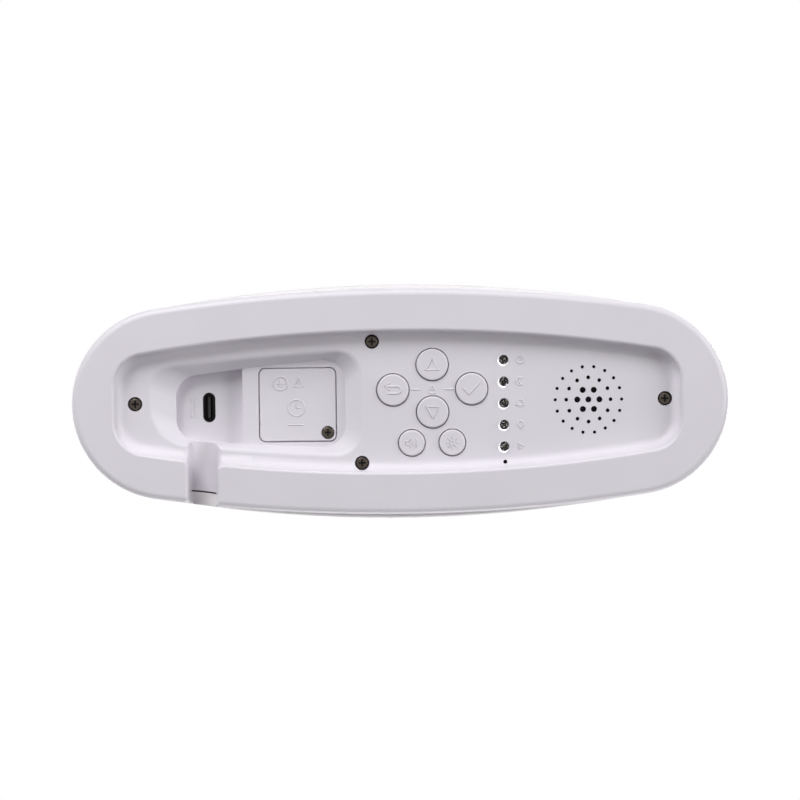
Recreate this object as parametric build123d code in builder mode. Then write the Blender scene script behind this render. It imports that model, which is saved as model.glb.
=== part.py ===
from build123d import *
from math import asin, atan2, cos, radians, sin, sqrt
import os

os.makedirs("parts", exist_ok=True)

# Bedside sleep trainer clock. Millimetres. It stands on its rim: z = 0 is the rim plane, +Z is up,
# -Y is the front with the display, +Y is the rear where the cable leaves, +X is to the right.

cut_spare = 1.0              # how far a cutting solid runs past what it cuts
half_space = 400.0           # size of a solid that stands for everything on one side

# Base moulding, plan outline
end_x = 73.2                 # centre of the round ends
end_radius = 30.2
base_half_width = 35.5
shell_half_width = 37.0      # the upper shells bulge past the base in the middle
seam_z = 7.0                 # parting line between base and shells
base_floor = 2.4
rim_outer_fillet = 2.0
rim_inner_fillet = 1.0

# Seat of the shells on the base
seat_width = 3.5             # ledge that carries the shells' flange
seat_gap = 0.5
lip_wall = 1.8
lip_height = 2.0

# Recess under the clock and its control panel
rim_left_width = 13.5        # from the base's edge to the recess at the left end
rim_right_width = 14.9       # the same at the right end
rim_side_width = 13.3        # the same along the sides
recess_middle_radius, recess_outer_radius = 520.0, 490.0
side_middle_part = 1 / 3     # share of a long side that its middle arc takes
side_middle_flatness = 1.04  # the middle arc's radius beside that of one single arc
recess_corner = 10.0
recess_depth = 5.0
recess_cove = 3.4
panel_wall = 2.4
rim_pick_margin = 0.2
pick_reach = 0.05            # how near an edge has to be to a place to be picked there

# Pocket for the plug and the battery door, in the left half of the panel
pocket_mouth_left, pocket_mouth_right = -79.3, -12.5
pocket_mouth_front_left, pocket_mouth_front_right = -11.0, -16.2
pocket_mouth_rear_left, pocket_mouth_rear_right = 11.3, 16.7
pocket_mouth_bow = 0.7       # how far the long edges bow outwards
pocket_mouth_corner = 7.0
pocket_mouth_corner_rear_left = 12.0
pocket_floor_left, pocket_floor_right = -71.2, -17.4
pocket_floor_front_left, pocket_floor_front_right = -8.1, -13.9
pocket_floor_rear_left, pocket_floor_rear_right = 11.4, 14.4
pocket_floor_bow = 0.5
pocket_floor_corner = 7.0
pocket_lip_round = 1.8
pocket_wall = 2.0
battery_floor_depth = 9.0
port_floor_depth = 13.0
port_step_x = -50.0

# Cable channel to the rear edge
channel_x = -62.4
channel_width = 9.3
channel_axis_z = 4.5
channel_wall = 1.8
channel_overlap = 1.5        # how far it starts inside the pocket

# Upper shells
shell_wall = 2.6
flange_height = 3.4
shell_edge_fillet = 1.2
parting_tongue = 1.2
parting_tongue_height = 1.5
parting_tongue_inset = 0.7
parting_gap = 0.1
parting_line_width = 0.5    # groove that shows where the shells meet
parting_line_depth = 0.4
boss_diameter = 8.0
boss_rise = 14.0
boss_roof = 2.0
rib_wall = 2.0
wall_bite = 0.8              # how far ribs and posts run into the shell's wall

# Front window and light band, both concentric with the round body
window_to_band = 12.0        # from the window's edge to the band's
window_sill_z = 24.0
window_corner = 4.0
window_ledge = 2.4
front_gap = 0.15
window_thickness = 1.7
band_inset = 22.4            # from the body's end to the band's outer edge
band_width = 11.0
band_end_angle = 16.0
band_ledge = 1.4
front_clear_depth = 4.0      # kept clear behind the ledges

# Light board, trough and display
board_wall = 1.6
board_front_y = -22.0
board_margin = 4.0           # from the band's outer edge to the board's
board_hole_gap = 0.2
board_sill_z = 27.0
post_offset = 6.0            # from the window's edge to the posts' centres
post_angles = (24.0, 68.0, 112.0, 156.0)
post_diameter = 6.0
trough_margin_inner = 1.6    # how far the trough reaches past the band
trough_margin_outer = 2.6
trough_wall = 1.2
trough_floor = 1.4
trough_rim_gap = 0.4
glow_count = 11
glow_end_margin = 10.0       # degrees in from the band's ends
glow_led_size = 3.5
glow_led_height = 1.6
glow_hole_gap = 0.5
display_side_margin = 3.5    # round the digits
display_end_margin = 3.25
display_corner = 1.0
display_depth = 8.4
display_z = 39.5
digit_pitch = 15.5
digit_height = 17.5
digit_width = 10.0
segment_width = 2.0
segment_depth = 0.4
digit_colon_gap = 4.5
segment_gap = 0.5
mask_thickness = 0.4
mask_gap = 0.3
mask_edge_gap = 0.2
mask_frame_side, mask_frame_end = 1.0, 2.0   # how far it covers the display's edges
mask_corner = 2.0

# Buttons on the panel: place x, y and cap diameter
button_places = {
    "up": (10.3, -11.5, 10.0),
    "back": (-2.2, -3.6, 10.0),
    "check": (22.7, -3.7, 10.0),
    "down": (10.3, 3.5, 10.0),
    "volume": (3.6, 13.2, 8.2),
    "brightness": (16.4, 13.2, 8.2),
}
button_gap = 0.3
button_proud = 0.7
button_edge = 0.5
button_flange_rim = 0.9
button_flange_height = 1.0
button_flange_gap = 0.2
button_stem = 4.0
button_travel = 0.5
actuator_diameter = 3.4
actuator_gap = 0.05
actuator_height = 0.8
actuator_depth = 1.2
actuator_spare = 0.1
actuator_edge = 0.2
switch_size = 6.0
switch_height = 3.5
switch_corner = 0.5

# Indicator lamps in a column, and the reset pinhole
lamp_x = 32.9
lamp_first_y = -12.8
lamp_pitch = 6.85
lamp_count = 5
lamp_diameter = 3.0
lamp_gap = 0.05
lamp_proud = 1.1
lamp_flange = 3.8
lamp_flange_height = 1.0
lead_size = 0.5
lead_pitch = 2.54 / 2
reset_x, reset_y = 33.1, 19.5
reset_hole = 1.3
reset_travel = 0.25
reset_actuator = 1.6
reset_switch_size = 4.5

# Main board
main_board_z = 15.0
main_board_left, main_board_right = -6.5, 41.0
main_board_front, main_board_rear = -17.2, 22.6
main_board_corner = 2.0
main_board_notch_gap = 1.0
main_boss_places = ((-3.5, -13.0), (37.8, -14.6), (37.4, 13.2), (-3.5, 17.6))
board_boss_diameter = 5.0
board_screw_shank = 2.0
board_screw_head = 3.8
board_screw_head_height = 1.4
board_screw_length = 6.0
screw_gap = 0.05
pilot_spare = 0.3
chips = (                    # centre x and y, length, width, height
    (11.5, -0.5, 7.0, 7.0, 1.0),
    (22.5, 6.0, 5.0, 4.0, 1.4),
    (22.0, -10.0, 4.0, 4.0, 1.2),
)

# Screw heads, as shares of the head or shank
head_round = 0.45
tip_taper = 0.25
cross_reach = 0.55
cross_width = 0.14
cross_depth = 0.6

# Speaker behind its grille
speaker_x, speaker_y = 59.6, 0.1
grille_counts = (6, 12, 18)
grille_radii = (3.5, 7.0, 10.5)
grille_holes = (1.93, 1.22, 1.06)
grille_centre_hole = 1.93
speaker_radius = 15.6
gasket_width = 2.6
gasket_height = 1.0
speaker_flange = 0.9
basket_height = 5.6
basket_top_radius = 9.6
magnet_radius = 10.4
magnet_height = 5.0
magnet_edge = 0.5
basket_wall = 0.8
cone_wall = 0.4
cone_depth = 3.2
cone_cap_radius = 3.6
cone_gap = 0.05
coil_inner_radius, coil_outer_radius = 2.6, 3.4
mesh_thickness = 0.3
mesh_radius = 12.6
speaker_boss_radius_place = 19.0
speaker_boss_angles = (30.0, 150.0, 270.0)
speaker_screw_head = 7.0
speaker_screw_length = 2.6

# Case screws: two at the ends, one near the front edge and one near the rear edge
end_screw_inset = 6.1        # from the recess's left end
front_screw_x, rear_screw_x = -8.7, -12.2
front_screw_inset, rear_screw_inset = 3.2, 2.8   # from the recess's sides
case_screw_head = 4.2
case_screw_head_height = 1.6
case_screw_shank = 2.9
case_screw_length = 16.0
case_screw_sink = 0.3
head_gap = 0.2
sleeve_diameter = 8.0
sleeve_height = 12.0

# Battery compartment
door_x, door_y = -32.5, 0.8
door_length, door_width = 24.2, 23.1
door_corner = 1.9
door_gap = 0.3
door_wall = 1.6
door_rib_height = 0.5
door_rib_width = 1.0
door_edge = 0.25
door_notch_y = 6.9           # finger-nail notch in the door's left edge
door_notch_radius = 0.5
door_notch_depth = 0.6
cell_x, cell_y = -34.0, 0.6
cell_diameter = 20.0
cell_height = 3.2
cell_gap = 0.35
cell_bottom_round = 0.4
cell_top_edge = 0.3
well_roof_z = 16.4
well_wall = 2.0
door_screw_x, door_screw_y = -23.0, 9.7
door_screw_head = 3.8
door_screw_head_height = 1.2
door_screw_shank = 1.9
door_screw_length = 6.0
door_screw_head_gap = 0.2
door_screw_shank_gap = 0.1
contact_wall = 0.4
contact_width = 5.0
contact_notch = 0.9
contact_gap = 0.2
contact_leaf = 1.2

# Socket for the charging plug
port_x, port_y = -60.9, 1.4
port_slot_width, port_slot_length = 4.0, 9.5
port_shell_width, port_shell_length = 3.3, 9.0
port_shell_wall = 0.3
port_height = 6.6
port_sink = 1.0
port_tongue_width, port_tongue_length = 0.7, 6.7
port_tongue_sink = 0.6
port_cap_height = 1.4
port_board_left, port_board_right = -69.5, -52.5
port_board_front, port_board_rear = -8.0, 11.0
port_boss_places = ((-66.6, 8.0), (-55.4, -5.2))

# Wires inside
wire_diameter = 1.2
ribbon_width = 14.0
ribbon_thickness = 0.6
ribbon_bend = 6.0
ribbon_top_z = 34.0
connector_height = 4.0
speaker_plug = (32.0, 38.0, 16.0, 21.0)          # left, right, front, rear
power_plug = (-5.0, -0.4, 4.0, 11.0)
battery_plug = (-5.0, -0.4, -5.5, 0.5)
ribbon_plug = (4.0, 21.0, 8.0, 12.0)
lead_bend = 1.8
battery_lead_bend = 1.2
speaker_lead_spread, power_lead_spread, battery_lead_spread = 0.8, 1.0, 1.0
speaker_lead_rise, power_lead_rise, battery_lead_rise = 4.0, 5.0, 2.6
speaker_tag_offset = 6.0     # from the speaker's axis to its solder tags
speaker_tag_spread = 3.2
port_lead_x, port_lead_y = -60.0, 4.0
cell_lead_offset = 2.0

# Sizes that follow from the ones above
body_radius = end_x + end_radius
recess_left = rim_left_width - body_radius
recess_right = body_radius - rim_right_width
recess_half_width = base_half_width - rim_side_width
band_outer_radius = body_radius - band_inset
band_inner_radius = band_outer_radius - band_width
window_radius = band_inner_radius - window_to_band
board_radius = band_outer_radius + board_margin
post_radius_place = window_radius + post_offset
trough_inner_radius = band_inner_radius - trough_margin_inner
trough_outer_radius = band_outer_radius + trough_margin_outer
glow_radius = (trough_inner_radius + trough_outer_radius) / 2
glow_end_angle = band_end_angle + glow_end_margin
glow_hole = glow_led_size * sqrt(2) + 2 * glow_hole_gap
display_width = 3 * digit_pitch + digit_colon_gap + digit_width + 2 * display_side_margin
display_height = digit_height + 2 * display_end_margin
end_screw_x = -recess_left - end_screw_inset
front_screw_y = front_screw_inset - recess_half_width
rear_screw_y = recess_half_width - rear_screw_inset
button_hole_top = recess_depth + panel_wall
port_plate_top = port_floor_depth + pocket_wall
battery_plate_top = battery_floor_depth + pocket_wall
lip_inset = seat_width + seat_gap
wall_inset = lip_inset + lip_wall
switch_bottom_z = main_board_z - switch_height
main_board_top = main_board_z + board_wall
board_rear_y = board_front_y + board_wall
door_top_z = battery_floor_depth + door_wall


def side_radius(width, radius):
    """Radius of the long side arc that runs tangent to both end circles."""
    return (end_x**2 + width**2 - radius**2) / (2 * (width - radius))


def side_arcs(width, radius, inset):
    """Three points of a long side, right of its middle: the arcs' joint, the outer arc's middle
    and the joint with the end circle.

    The side is a flatter middle arc between two rounder ones that run tangent to it and to the
    end circles. The arcs stay concentric when the outline is inset.
    """
    middle = side_radius(width, radius) * side_middle_flatness
    turn = asin(side_middle_part * end_x / middle)
    reach_x = middle * sin(turn) - end_x
    reach_y = width - middle + middle * cos(turn)
    along = reach_x * sin(turn) + reach_y * cos(turn)
    outer = (reach_x**2 + reach_y**2 - radius**2) / (2 * (along - radius))
    outer_x = (middle - outer) * sin(turn)
    outer_y = width - middle + (middle - outer) * cos(turn)
    end_turn = atan2(end_x - outer_x, -outer_y)

    def on_arc(centre_x, centre_y, arc_radius, angle):
        reach = arc_radius - inset
        return (centre_x + reach * sin(angle), centre_y + reach * cos(angle))

    return (
        on_arc(0, width - middle, middle, turn),
        on_arc(outer_x, outer_y, outer, (turn + end_turn) / 2),
        on_arc(outer_x, outer_y, outer, end_turn),
    )


def long_outline(inset, half_width=base_half_width):
    """Long body outline: two round ends joined by bowed sides that run tangent to them."""
    width = half_width - inset
    tip = end_x + end_radius - inset
    inner, mid, outer = side_arcs(half_width, end_radius, inset)
    with BuildSketch() as outline:
        with BuildLine():
            for side in (-1, 1):
                left_inner, right_inner = (-inner[0], side * inner[1]), (inner[0], side * inner[1])
                left_outer, right_outer = (-outer[0], side * outer[1]), (outer[0], side * outer[1])
                ThreePointArc(left_outer, (-mid[0], side * mid[1]), left_inner)
                ThreePointArc(left_inner, (0, side * width), right_inner)
                ThreePointArc(right_inner, (mid[0], side * mid[1]), right_outer)
                ThreePointArc((side * outer[0], outer[1]), (side * tip, 0), (side * outer[0], -outer[1]))
        make_face()
    return outline.sketch


def recess_outline(grow):
    """Outline of the recess under the clock: bowed long sides, straight ends, round corners.

    A long side is a flatter middle arc between two rounder ones that run on tangent to it.
    """
    left, right = recess_left - grow, recess_right + grow
    width = recess_half_width + grow
    middle, outer = recess_middle_radius + grow, recess_outer_radius + grow
    joint_x = side_middle_part * recess_right
    slope = joint_x / recess_middle_radius
    joint = (slope * middle, width - middle + middle * sqrt(1 - slope**2))
    centre = (slope * (middle - outer), joint[1] - outer * sqrt(1 - slope**2))

    def outer_y(x):
        return centre[1] + sqrt(outer**2 - (abs(x) - centre[0])**2)

    left_mid, right_mid = (left - joint[0]) / 2, (right + joint[0]) / 2
    with BuildSketch() as outline:
        with BuildLine():
            for side in (-1, 1):
                left_joint, right_joint = (-joint[0], side * joint[1]), (joint[0], side * joint[1])
                ThreePointArc((left, side * outer_y(left)), (left_mid, side * outer_y(left_mid)),
                              left_joint)
                ThreePointArc(left_joint, (0, side * width), right_joint)
                ThreePointArc(right_joint, (right_mid, side * outer_y(right_mid)),
                              (right, side * outer_y(right)))
            Line((left, -outer_y(left)), (left, outer_y(left)))
            Line((right, -outer_y(right)), (right, outer_y(right)))
        make_face()
        ends = outline.vertices().filter_by(lambda v: abs(v.X) > joint[0] + rim_pick_margin)
        fillet(ends, recess_corner + grow)
    return outline.sketch


def pocket_outline(left, right, front, rear, bow, corners, grow):
    """Pocket outline with bowed long edges and round corners, grown by a wall where asked.

    Front and rear give the long edges' places at the left and at the right. The corners go
    from the front left to the front right, the rear right and the rear left.
    """
    middle = (left + right) / 2
    front_middle = sum(front) / 2 - bow
    rear_middle = sum(rear) / 2 + bow
    places = [
        (left - grow, front[0] - grow),
        (right + grow, front[1] - grow),
        (right + grow, rear[1] + grow),
        (left - grow, rear[0] + grow),
    ]
    with BuildSketch() as outline:
        with BuildLine():
            ThreePointArc(places[0], (middle, front_middle - grow), places[1])
            Line(places[1], places[2])
            ThreePointArc(places[2], (middle, rear_middle + grow), places[3])
            Line(places[3], places[0])
        make_face()
        for place, corner in zip(places, corners):
            fillet(outline.vertices().sort_by_distance((*place, 0))[0], corner + grow)
    return outline.sketch


def pocket_mouth(grow=0.0):
    """Pocket outline where it opens in the panel."""
    return pocket_outline(
        pocket_mouth_left, pocket_mouth_right,
        (pocket_mouth_front_left, pocket_mouth_front_right),
        (pocket_mouth_rear_left, pocket_mouth_rear_right), pocket_mouth_bow,
        3 * [pocket_mouth_corner] + [pocket_mouth_corner_rear_left], grow,
    )


def pocket_floor(grow=0.0):
    """Pocket outline at the battery floor."""
    return pocket_outline(
        pocket_floor_left, pocket_floor_right,
        (pocket_floor_front_left, pocket_floor_front_right),
        (pocket_floor_rear_left, pocket_floor_rear_right), pocket_floor_bow,
        4 * [pocket_floor_corner], grow,
    )


def port_floor(grow=0.0):
    """Outline of the deeper floor that holds the socket: the pocket's floor left of the step."""
    with BuildSketch() as outline:
        add(pocket_floor(grow))
        with Locations((port_step_x + grow, 0)):
            Rectangle(half_space, half_space, align=(Align.MAX, Align.CENTER), mode=Mode.INTERSECT)
    return outline.sketch


def quarter(inset):
    """Quarter of the shells' plan outline, at the rear right, closed along both axes."""
    width = shell_half_width - inset
    radius = end_radius - inset
    side = side_radius(width, radius)
    reach = side / (side - radius)
    tangent = (end_x * reach, (width - side) * (1 - reach))
    side_mid = (tangent[0] / 2, width - side + sqrt(side**2 - (tangent[0] / 2) ** 2))
    end_mid = (end_x + radius * cos(radians(40)), radius * sin(radians(40)))
    with BuildSketch() as outline:
        with BuildLine():
            Line((0, 0), (end_x + radius, 0))
            ThreePointArc((end_x + radius, 0), end_mid, tangent)
            ThreePointArc(tangent, side_mid, (0, width))
            Line((0, width), (0, 0))
        make_face()
    return outline.sketch


spin_axis = Axis((0, 0, seam_z), (0, 1, 0))


def dome(outer_inset, inner_inset=None, side=-1):
    """Half of the round body behind or in front of y = 0, solid or as a skin between two insets."""
    with BuildPart() as half:
        with BuildSketch(Plane.XY.offset(seam_z)) as section:
            add(quarter(outer_inset))
            if inner_inset is not None:
                add(quarter(inner_inset), mode=Mode.SUBTRACT)
            if side < 0:
                mirror(about=Plane.XZ, mode=Mode.REPLACE)
        revolve(axis=spin_axis, revolution_arc=-180)
    return half.part


def ring_sector(inner, outer, end_angle):
    """Arch-shaped face between two radii, with round ends, drawn about the body's axis."""
    with BuildLine():
        middle = CenterArc((0, 0), (inner + outer) / 2, end_angle, 180 - 2 * end_angle)
    with BuildSketch() as sector:
        SlotArc(middle, outer - inner)
    return sector.sketch


def window_face(grow):
    """Round-topped window outline with a straight sill, drawn about the body's axis."""
    sill = window_sill_z - seam_z - grow
    with BuildSketch() as face:
        Circle(window_radius + grow)
        with Locations((0, sill - half_space / 2)):
            Rectangle(half_space, half_space, mode=Mode.SUBTRACT)
        fillet(face.vertices(), window_corner + grow)
    return face.sketch


front_plane = Plane(origin=(0, 0, seam_z), x_dir=(1, 0, 0), z_dir=(0, -1, 0))


def front_skin(face, outer_inset, inner_inset):
    """Piece of the front skin inside a face that is drawn on the front plane."""
    with BuildPart() as piece:
        with BuildSketch(front_plane):
            add(face)
        extrude(amount=half_space)
        add(dome(outer_inset, inner_inset), mode=Mode.INTERSECT)
    return piece.part


def finish_piece(piece, name):
    """Label a finished piece and write it out."""
    piece.part.label = name
    export_step(piece.part, f"parts/{name}.step")
    print(name, len(piece.part.solids()), round(piece.part.volume, 2))


def at(z):
    """Horizontal sketch plane at a height."""
    return Plane.XY.offset(z)


case_screw_places = (
    (-end_screw_x, 0.0),
    (end_screw_x, 0.0),
    (front_screw_x, front_screw_y),
    (rear_screw_x, rear_screw_y),
)
case_head_z = recess_depth + case_screw_sink
case_seat_z = case_head_z + case_screw_head_height
lamp_places = [(lamp_x, lamp_first_y + lamp_pitch * i) for i in range(lamp_count)]
speaker_bosses = [
    (speaker_x + speaker_boss_radius_place * cos(radians(a)),
     speaker_y + speaker_boss_radius_place * sin(radians(a)))
    for a in speaker_boss_angles
]
speaker_flange_z = recess_depth + panel_wall + gasket_height
speaker_boss_top = speaker_flange_z + speaker_flange

# The cable channel, as a tool that cuts the base and the rear shell alike
with BuildPart() as channel_tool:
    with BuildSketch(Plane.XZ.offset(channel_overlap - pocket_mouth_rear_left)):
        with Locations((channel_x, channel_axis_z)):
            Circle(channel_width / 2)
        with Locations((channel_x, (channel_axis_z - cut_spare) / 2)):
            Rectangle(channel_width, channel_axis_z + cut_spare)
    extrude(amount=-half_space)

# The recess, as a tool with a cove along its top edge
with BuildPart() as recess_tool:
    with BuildSketch(at(-cut_spare)):
        add(recess_outline(0))
    extrude(amount=recess_depth + cut_spare)
    fillet(recess_tool.edges().group_by(Axis.Z)[-1], recess_cove)

# The pocket, as a tool: sloped mouth, battery floor, deeper socket floor
with BuildPart() as pocket_tool:
    with BuildSketch(at(recess_depth)):
        add(pocket_mouth())
    with BuildSketch(at(battery_floor_depth)):
        add(pocket_floor())
    loft(ruled=True)
    with BuildSketch(at(recess_depth - cut_spare)):
        add(pocket_mouth())
    extrude(amount=cut_spare)
    with BuildSketch(at(battery_floor_depth)):
        add(port_floor())
    extrude(amount=port_floor_depth - battery_floor_depth)

# Base housing: rim, recessed control panel, pocket, channel, screw sleeves and board bosses
with BuildPart() as base_housing:
    with BuildSketch():
        add(long_outline(0))
    extrude(amount=seam_z)
    fillet(base_housing.edges().group_by(Axis.Z)[0], rim_outer_fillet)
    with BuildSketch(at(seam_z)):
        add(long_outline(lip_inset))
    extrude(amount=lip_height)
    with BuildSketch(at(base_floor)):
        add(long_outline(wall_inset))
        add(recess_outline(panel_wall), mode=Mode.SUBTRACT)
    extrude(amount=half_space, mode=Mode.SUBTRACT)
    with BuildSketch(at(button_hole_top)):
        add(long_outline(wall_inset))
    extrude(amount=half_space, mode=Mode.SUBTRACT)
    # walls of the pocket, the battery well and the channel's roof
    with BuildSketch(at(base_floor)):
        add(pocket_mouth(pocket_wall))
    extrude(amount=battery_plate_top - base_floor)
    with BuildSketch(at(battery_floor_depth)):
        add(port_floor(pocket_wall))
    extrude(amount=port_plate_top - battery_floor_depth)
    with BuildSketch(at(battery_floor_depth)):
        with Locations((cell_x, cell_y)):
            Circle(cell_diameter / 2 + cell_gap + well_wall)
        with Locations((door_screw_x, door_screw_y)):
            Circle(door_screw_shank / 2 + well_wall)
    extrude(amount=well_roof_z + well_wall - battery_floor_depth)
    with BuildSketch(at(base_floor)):
        with Locations((channel_x, (pocket_mouth_rear_left + base_half_width) / 2)):
            Rectangle(channel_width + 2 * channel_wall, base_half_width - pocket_mouth_rear_left)
        add(long_outline(lip_inset), mode=Mode.INTERSECT)
    extrude(amount=channel_axis_z + channel_width / 2 + channel_wall - base_floor)
    # sleeves for the case screws, bosses for the boards and the speaker
    with BuildSketch(at(recess_depth)):
        with Locations(*case_screw_places):
            Circle(sleeve_diameter / 2)
    extrude(amount=sleeve_height - recess_depth)
    with BuildSketch(at(recess_depth)):
        with Locations(*main_boss_places):
            Circle(board_boss_diameter / 2)
    extrude(amount=main_board_z - recess_depth)
    with BuildSketch(at(port_floor_depth)):
        with Locations(*port_boss_places):
            Circle(board_boss_diameter / 2)
    extrude(amount=port_height + port_sink)
    with BuildSketch(at(recess_depth)):
        with Locations(*speaker_bosses):
            Circle(board_boss_diameter / 2)
    extrude(amount=speaker_boss_top - recess_depth)
    # hollows seen from below
    add(recess_tool.part, mode=Mode.SUBTRACT)
    add(pocket_tool.part, mode=Mode.SUBTRACT)
    add(channel_tool.part, mode=Mode.SUBTRACT)
    pocket_lip = base_housing.edges().filter_by(
        lambda e: abs(e.bounding_box().min.Z - recess_depth) < pick_reach
        and abs(e.bounding_box().max.Z - recess_depth) < pick_reach
        and e.bounding_box().min.X > pocket_mouth_left - pick_reach
        and e.bounding_box().max.X < pocket_mouth_right + pick_reach
    )
    fillet(pocket_lip, pocket_lip_round)
    # battery door opening, cell well and the pilot of the door's screw
    with BuildSketch(at(battery_floor_depth - cut_spare)):
        with Locations((door_x, door_y)):
            RectangleRounded(door_length + 2 * door_gap, door_width + 2 * door_gap,
                             door_corner + door_gap)
    extrude(amount=door_wall + cut_spare, mode=Mode.SUBTRACT)
    with BuildSketch(at(battery_floor_depth)):
        with Locations((cell_x, cell_y)):
            Circle(cell_diameter / 2 + cell_gap)
    extrude(amount=well_roof_z - battery_floor_depth, mode=Mode.SUBTRACT)
    with BuildSketch(at(battery_floor_depth)):
        with Locations((door_screw_x, door_screw_y)):
            Circle(door_screw_shank / 2 + screw_gap)
    extrude(amount=door_wall + door_screw_length + pilot_spare, mode=Mode.SUBTRACT)
    with BuildSketch(at(door_top_z)):
        with Locations((cell_x - cell_diameter / 2 - cell_gap - contact_notch, cell_y)):
            Rectangle(cell_gap + contact_notch + cut_spare, contact_width + 2 * contact_gap,
                      align=(Align.MIN, Align.CENTER))
    extrude(amount=well_roof_z - door_top_z, mode=Mode.SUBTRACT)
    # socket slot
    with BuildSketch(at(port_floor_depth - cut_spare)):
        with Locations((port_x, port_y)):
            SlotOverall(port_slot_length, port_slot_width, rotation=90)
    extrude(amount=port_plate_top - port_floor_depth + 2 * cut_spare, mode=Mode.SUBTRACT)
    # button, lamp and reset holes
    for button_x, button_y, cap_diameter in button_places.values():
        with BuildSketch(at(recess_depth - cut_spare)):
            with Locations((button_x, button_y)):
                Circle(cap_diameter / 2 + button_gap)
        extrude(amount=panel_wall + 2 * cut_spare, mode=Mode.SUBTRACT)
    with BuildSketch(at(recess_depth - recess_cove)):
        with Locations(*lamp_places):
            Circle(lamp_diameter / 2 + lamp_gap)
        with Locations((reset_x, reset_y)):
            Circle(reset_hole / 2)
        with Locations((speaker_x, speaker_y)):
            Circle(grille_centre_hole / 2)
            for hole_count, ring_radius, hole_diameter in zip(
                    grille_counts, grille_radii, grille_holes):
                with PolarLocations(ring_radius, hole_count):
                    Circle(hole_diameter / 2)
    extrude(amount=panel_wall + recess_cove + cut_spare, mode=Mode.SUBTRACT)
    # case screw sinks and through holes, board screw pilots
    with BuildSketch(at(recess_depth - recess_cove)):
        with Locations(*case_screw_places):
            Circle(case_screw_head / 2 + head_gap)
    extrude(amount=case_seat_z - recess_depth + recess_cove, mode=Mode.SUBTRACT)
    with BuildSketch(at(recess_depth)):
        with Locations(*case_screw_places):
            Circle(case_screw_shank / 2 + head_gap)
    extrude(amount=sleeve_height, mode=Mode.SUBTRACT)
    for boss_places, boss_top, screw_reach in (
            (main_boss_places, main_board_z, board_screw_length - board_wall),
            (port_boss_places, port_floor_depth + port_sink + port_height,
             board_screw_length - board_wall),
            (speaker_bosses, speaker_boss_top, speaker_screw_length)):
        with BuildSketch(at(boss_top)):
            with Locations(*boss_places):
                Circle(board_screw_shank / 2 + screw_gap)
        extrude(amount=-(screw_reach + pilot_spare), mode=Mode.SUBTRACT)
    rim_edges = base_housing.faces().filter_by(Plane.XY).group_by(Axis.Z)[0].edges()
    inner_rim = rim_edges.filter_by(
        lambda e: abs(e.center().X) < -recess_left + rim_pick_margin
        and abs(e.center().Y) < recess_half_width + rim_pick_margin
        and not abs(e.center().X - channel_x) < channel_width / 2 + rim_pick_margin
    )
    fillet(inner_rim, rim_inner_fillet)
finish_piece(base_housing, "base_housing")

# Solid body a little inside the shells' outer face, which trims ribs and posts inside the wall
front_core = dome(wall_bite, side=-1)
rear_core = dome(wall_bite, side=1)


def flange_ring(side):
    """Inward flange along the bottom of a shell, seated on the base's ledge."""
    with BuildPart() as ring:
        with BuildSketch(at(seam_z)):
            add(long_outline(0, shell_half_width))
            add(long_outline(seat_width), mode=Mode.SUBTRACT)
            with Locations((0, side * half_space / 2)):
                Rectangle(half_space, half_space, mode=Mode.INTERSECT)
        extrude(amount=flange_height)
        add(front_core if side < 0 else rear_core, mode=Mode.INTERSECT)
    return ring.part


def shell_foot(shell):
    """Outer bottom edges of a shell, where it overhangs the base."""
    side = side_radius(shell_half_width, end_radius)
    return shell.edges().filter_by(GeomType.CIRCLE).filter_by(
        lambda e: abs(e.center().Z - seam_z) < 0.01
        and min(abs(e.radius - side), abs(e.radius - end_radius)) < 0.01
    )


def wall_boss(x, y, side):
    """Screw boss that stands on a base sleeve, tied to the shell's wall by a rib."""
    with BuildPart() as boss:
        with BuildSketch(at(sleeve_height)):
            with Locations((x, y)):
                Circle(boss_diameter / 2)
            with Locations((x, (y + side * half_space) / 2)):
                Rectangle(rib_wall, half_space - abs(y))
        extrude(amount=boss_rise)
        add(front_core if side < 0 else rear_core, mode=Mode.INTERSECT)
        with BuildSketch(at(sleeve_height)):
            with Locations((x, y)):
                Circle(case_screw_shank / 2 + screw_gap)
        extrude(amount=boss_rise - boss_roof, mode=Mode.SUBTRACT)
    return boss.part


# Shallow groove round the arch, half in each shell, that shows where the two meet
with BuildPart() as parting_line:
    with BuildSketch(at(seam_z)):
        with Locations((body_radius - parting_line_depth, 0)):
            Rectangle(parting_line_depth + cut_spare, parting_line_width,
                      align=(Align.MIN, Align.CENTER))
    revolve(axis=spin_axis, revolution_arc=-180)

# Boss pairs at the round ends, which stand at y = 0 and belong to the front shell
with BuildPart() as end_bosses:
    with BuildSketch(at(sleeve_height)):
        for end_side in (-1, 1):
            with Locations((end_side * end_screw_x, -rib_wall / 2)):
                Rectangle(rib_wall, rib_wall)
            with Locations((end_side * (end_screw_x + half_space / 2), -rib_wall / 2)):
                Rectangle(half_space, rib_wall)
    extrude(amount=boss_rise)
    add(front_core, mode=Mode.INTERSECT)
    with BuildSketch(at(sleeve_height)):
        with Locations((-end_screw_x, 0), (end_screw_x, 0)):
            Circle(boss_diameter / 2)
    extrude(amount=boss_rise)
    with BuildSketch(at(sleeve_height)):
        with Locations((-end_screw_x, 0), (end_screw_x, 0)):
            Circle(case_screw_shank / 2 + screw_gap)
    extrude(amount=boss_rise - boss_roof, mode=Mode.SUBTRACT)

post_places = [
    (post_radius_place * cos(radians(a)), post_radius_place * sin(radians(a))) for a in post_angles
]
with BuildPart() as posts:
    with BuildSketch(front_plane.offset(-board_front_y)):
        with Locations(*post_places):
            Circle(post_diameter / 2)
    extrude(amount=shell_half_width)
    add(front_core, mode=Mode.INTERSECT)

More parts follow.
